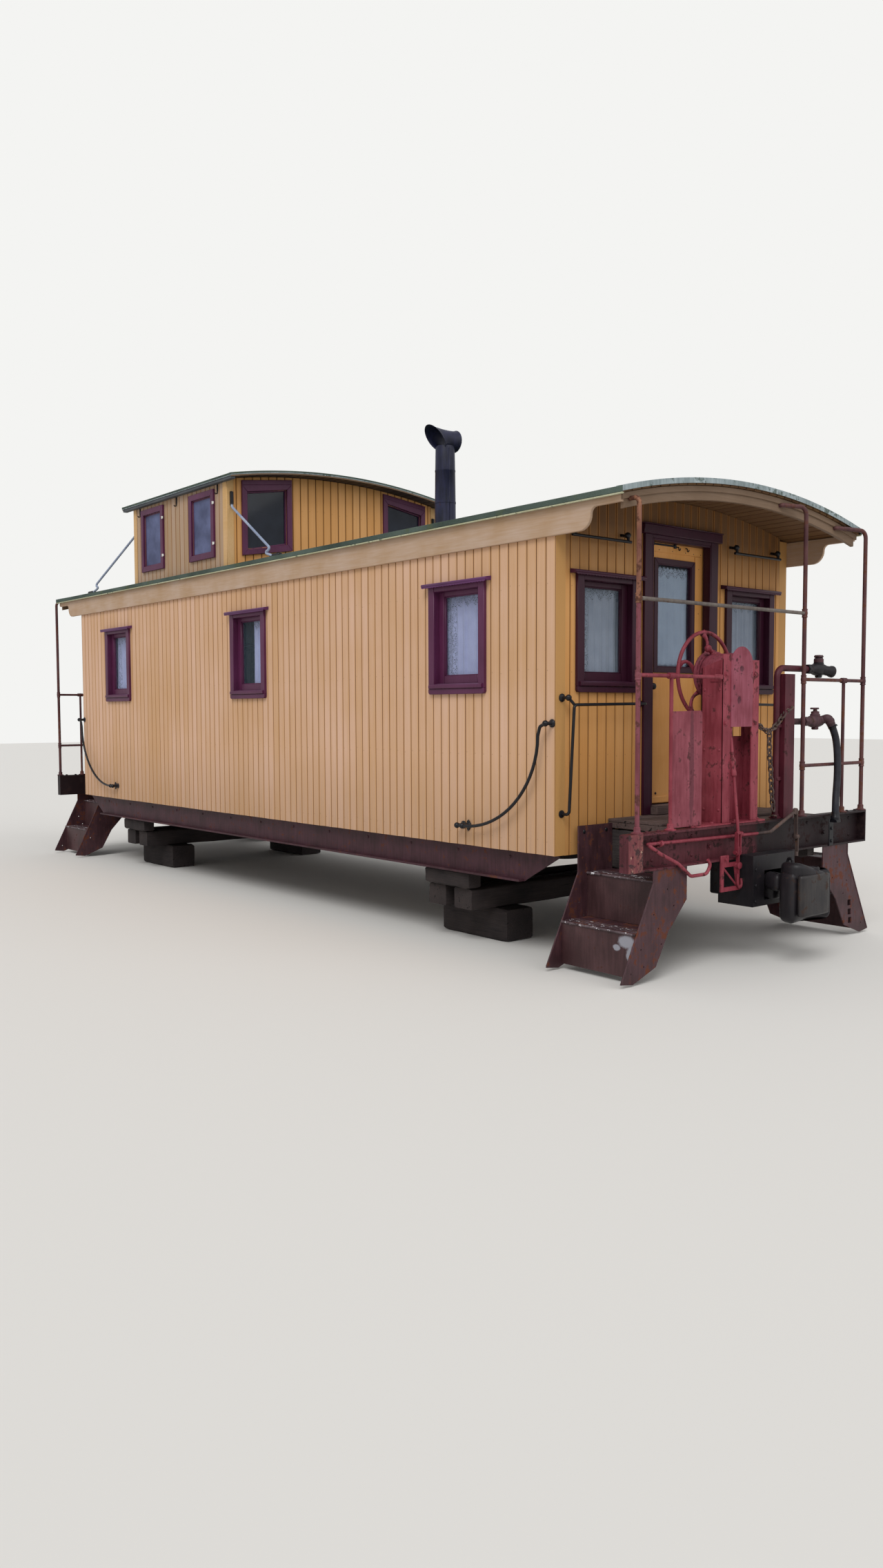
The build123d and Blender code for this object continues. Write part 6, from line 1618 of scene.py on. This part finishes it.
# Grab irons: round bar that stands off the wall on forged eyes
BALL = [(0.006, -0.0225), (0.016, -0.0165), (0.0225, -0.006), (0.0225, 0.006), (0.016, 0.0165), (0.006, 0.0225)]


def standoff(foot, head, radius=0.012):
    """A stud from the wall: a round foot plate, a neck and a ball."""
    foot, head = np.asarray(foot, float), np.asarray(head, float)
    length = np.linalg.norm(head - foot)
    rows = [(0.030, 0), (0.030, 0.005), (0.024, 0.010), (radius + 0.002, 0.016), (radius, length - 0.02)] + [
        (r, length + h) for r, h in BALL[1:]]
    return lathe(rows, foot, head - foot, 16)


HELD = -1.47                           # y of the side bar, which bends down in a flattened quarter circle
swing = np.radians(np.linspace(0, 90, 19))
side_run = [(-0.028, HELD, 1.745), (-0.083, HELD, 1.722)] + [
    (-0.103 - 0.80 * (1 - math.cos(a)) ** 0.97, HELD, 0.957 + 0.70 * (1 - math.sin(a))) for a in swing] + [
    (-0.983, HELD, 0.957)]
studs = [standoff((x, -1.401, z), (x, HELD, z), 0.013) for x, z in (
    (-0.028, 1.745), (-0.983, 0.957), (-0.922, 0.957))]
foot_plate = plate([(-0.922, 0.913), (-0.908, 0.925), (-0.908, 0.988), (-0.922, 1.0), (-0.936, 0.988),
                    (-0.936, 0.925)], -1.412, -1.4005, 1, 0.002)
side_bar = merged(pipe(side_run, 0.0122, 0.03, 12, steps=3), *studs[:2], foot_plate, studs[2])
at_wall = moved(side_bar, WALL, 0, 0)
piece("side_grab_irons", both_ends(merged(at_wall, flipped(at_wall, -1, 1, 1))), black_iron, "dark_iron",
      stands_for="side_grab_irons")
GRIP = 0.0112                          # radius of the bars on the end walls
end_bars = []
for side, inset, length, z in ((-1, 0.120, 0.560, 3.062), (1, 0.230, 0.570, 3.090)):
    outer, inner = side * (SIDE - inset), side * (SIDE - inset - length)
    end_bars += [pipe([(0.073, outer + side * 0.03, z), (0.073, inner - side * 0.03, z)], GRIP, 0, 12),
                 *[pipe([(0.073, y, z + 0.006), (0.070, y, z + 0.04), (0.002, y, z + 0.055)], GRIP, 0.02, 10)
                   for y in (outer, inner)],
                 *[lathe(np.array(BALL) * (1.05, 1), (0.066, y, z + 0.047), UP, 14) for y in (outer, inner)]]
for side in (-1, 1):
    near, far, bent = side * 0.5, side * 1.335, side * 1.285
    end_bars += [pipe([(0.002, near, 1.885), (0.075, near, 1.885), (0.075, bent, 1.875), (0.075, far, 1.1),
                       (0.002, far, 1.1)], GRIP, 0.028, 12),
                 standoff((0.001, far, 1.925), (0.066, far, 1.925), 0.010),
                 pipe([(0.066, far, 1.925), (0.075, bent, 1.877)], GRIP, 0, 10)]
    end_bars += [lathe([(0.028, 0), (0.028, 0.005), (0.018, 0.009)], (0.0, y, z), ALONG, 14)
                 for y, z in ((near, 1.885), (far, 1.1))]
piece("end_grab_irons", ends(*end_bars), black_iron, "dark_iron", stands_for="end_grab_irons")

# Underframe: rivets on the side sills, the brake cylinder and its reservoir, and the timber cribs
piece("side_sill_rivets", both_ends(domes([(x, -1.3255, 0.745) for x in np.arange(-3.6, 3.61, 0.6)], 0.012,
                                          (0, -1, 0))), frame_iron, "step_iron")
FLOOR_FOOT, HUNG = 1.03, 0.04          # the floor's underside, and how far below it the tanks hang


def tank(x, y, radius, length):
    """A drum with dished ends along x, on two straps that hang from the floor."""
    z = FLOOR_FOOT - radius - HUNG
    half = length / 2 - 0.001
    bow = np.radians(np.linspace(8, 90, 7))
    cap = np.stack([radius * np.sin(bow), -half + 0.16 * radius * (1 - np.sin(bow))], 1)
    rows = np.concatenate([cap, [(radius, half - 0.02)], cap[::-1] * (1, -1)])
    turn = np.radians(np.linspace(-180, 180, 33))[:-1]
    wrap = radius + 0.0015
    straps = []
    for s in (x - length / 3, x + length / 3):
        loop = np.stack([np.full(32, s), y + wrap * np.cos(turn), z + wrap * np.sin(turn)], 1)
        straps.append(carried(np.array(square(-0.0015, 0.0015, -0.018, 0.018)), loop, True, up=ALONG))
        straps.append(blocks([(s - 0.019, s + 0.019, y + k * radius * 0.2 - 0.006, y + k * radius * 0.2 + 0.006,
                               z + radius * 0.9, FLOOR_FOOT - 0.0005) for k in (-1, 1)], 0.002))
    return merged(lathe(rows, (x, y, z), ALONG, 32), *straps)


piece("air_tanks", merged(tank(-0.7, -0.7, 0.13, 0.56), tank(0.7, 0.65, 0.17, 0.9)), frame_iron, "step_iron",
      stands_for="air_tanks")
CRIB, APART, TIE = 2.873, 0.155, 0.1145        # a crib's centre, its ties from there, a tie's half width
ties = merged(*[baulk(x - TIE, x + TIE, -1.3, 1.3, 0.262, 0.44, 31 + k, 1, 0.005, 0.012)
                for k, x in enumerate((CRIB - APART, CRIB + APART))])
long_timbers = []
for side in (-1, 1):
    for y0, y1, z0, z1, over in ((0.75, 1.05, 0.0, 0.262, 0.12), (1.205, 1.345, 0.44, 0.575, 0.0)):
        reach = TIE + APART + over
        long_timbers.append(baulk(CRIB - reach, CRIB + reach, *sorted((side * y0, side * y1)), z0, z1,
                                  41 + len(long_timbers), 0, 0.005, 0.014))
piece("cross_ties", both_ends(ties), baulk_timber, "timber", stands_for="cross_ties")
piece("crib_timbers", both_ends(merged(*long_timbers)), long_timber, "timber",
      stands_for=("base_timbers", "packing_timbers"))

# The frame's own pieces that stay: their finish goes into their slots
kept = {
    "window_glass": pane_glass, "front_door_glass": pane_glass, "rear_door_glass": pane_glass,
    "cupola_glass": cupola_pane, "door_hinges": brass, "end_sills": sill_iron, "gangway_posts": maroon_pipe,
    "strikers": cast_steel, "side_sills": frame_iron, "centre_sill": frame_iron, "body_bolsters": baulk_timber,
    "cross_bearers": baulk_timber, "floor": floor_timber,
}
for name, material in kept.items():
    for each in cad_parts[name].material_slots:
        each.material = material

# Floor, background and light: pale floor, white behind, soft sun and sky at a plain level

ground = bpy.data.meshes.new("floor_sheet")
ground.from_pydata([(-60, -60, 0), (60, -60, 0), (60, 60, 0), (-60, 60, 0)], [], [(0, 1, 2, 3)])
ground_sheet = bpy.data.objects.new("floor_sheet", ground)
bpy.context.scene.collection.objects.link(ground_sheet)
# Matt studio floor: warm white, so that shadows show.
ground.materials.append(finish("pale_studio_floor", 0.9, Base_Color=linear("#D8D6D2"))[0])

world = bpy.data.worlds.new("studio")
bpy.context.scene.world = world
world.use_nodes = True
add = partial(node, world.node_tree)
ray = add("LightPath", take=None)
seen = add("Math", ray["Is Camera Ray"], ray["Is Transmission Ray"], operation="MAXIMUM")
either = add("MixShader", seen, add("Background", "#FFFFFF", 0.62), add("Background", "#F4F4F2", 1.0))
world.node_tree.links.new(either, world.node_tree.nodes["World Output"].inputs[0])

for name, strength, spread, heading in (("main_light", 1.5, 0.5, (-0.50, 0.72, -0.95)),
                                        ("fill_light", 0.55, 0.9, (-0.85, -0.25, -0.55))):
    lamp = bpy.data.objects.new(name, bpy.data.lights.new(name, "SUN"))
    bpy.context.scene.collection.objects.link(lamp)
    lamp.data.energy = strength
    lamp.data.angle = spread
    lamp.rotation_euler = Vector(heading).to_track_quat("-Z", "Y").to_euler()

bpy.context.scene.view_settings.view_transform = "Standard"
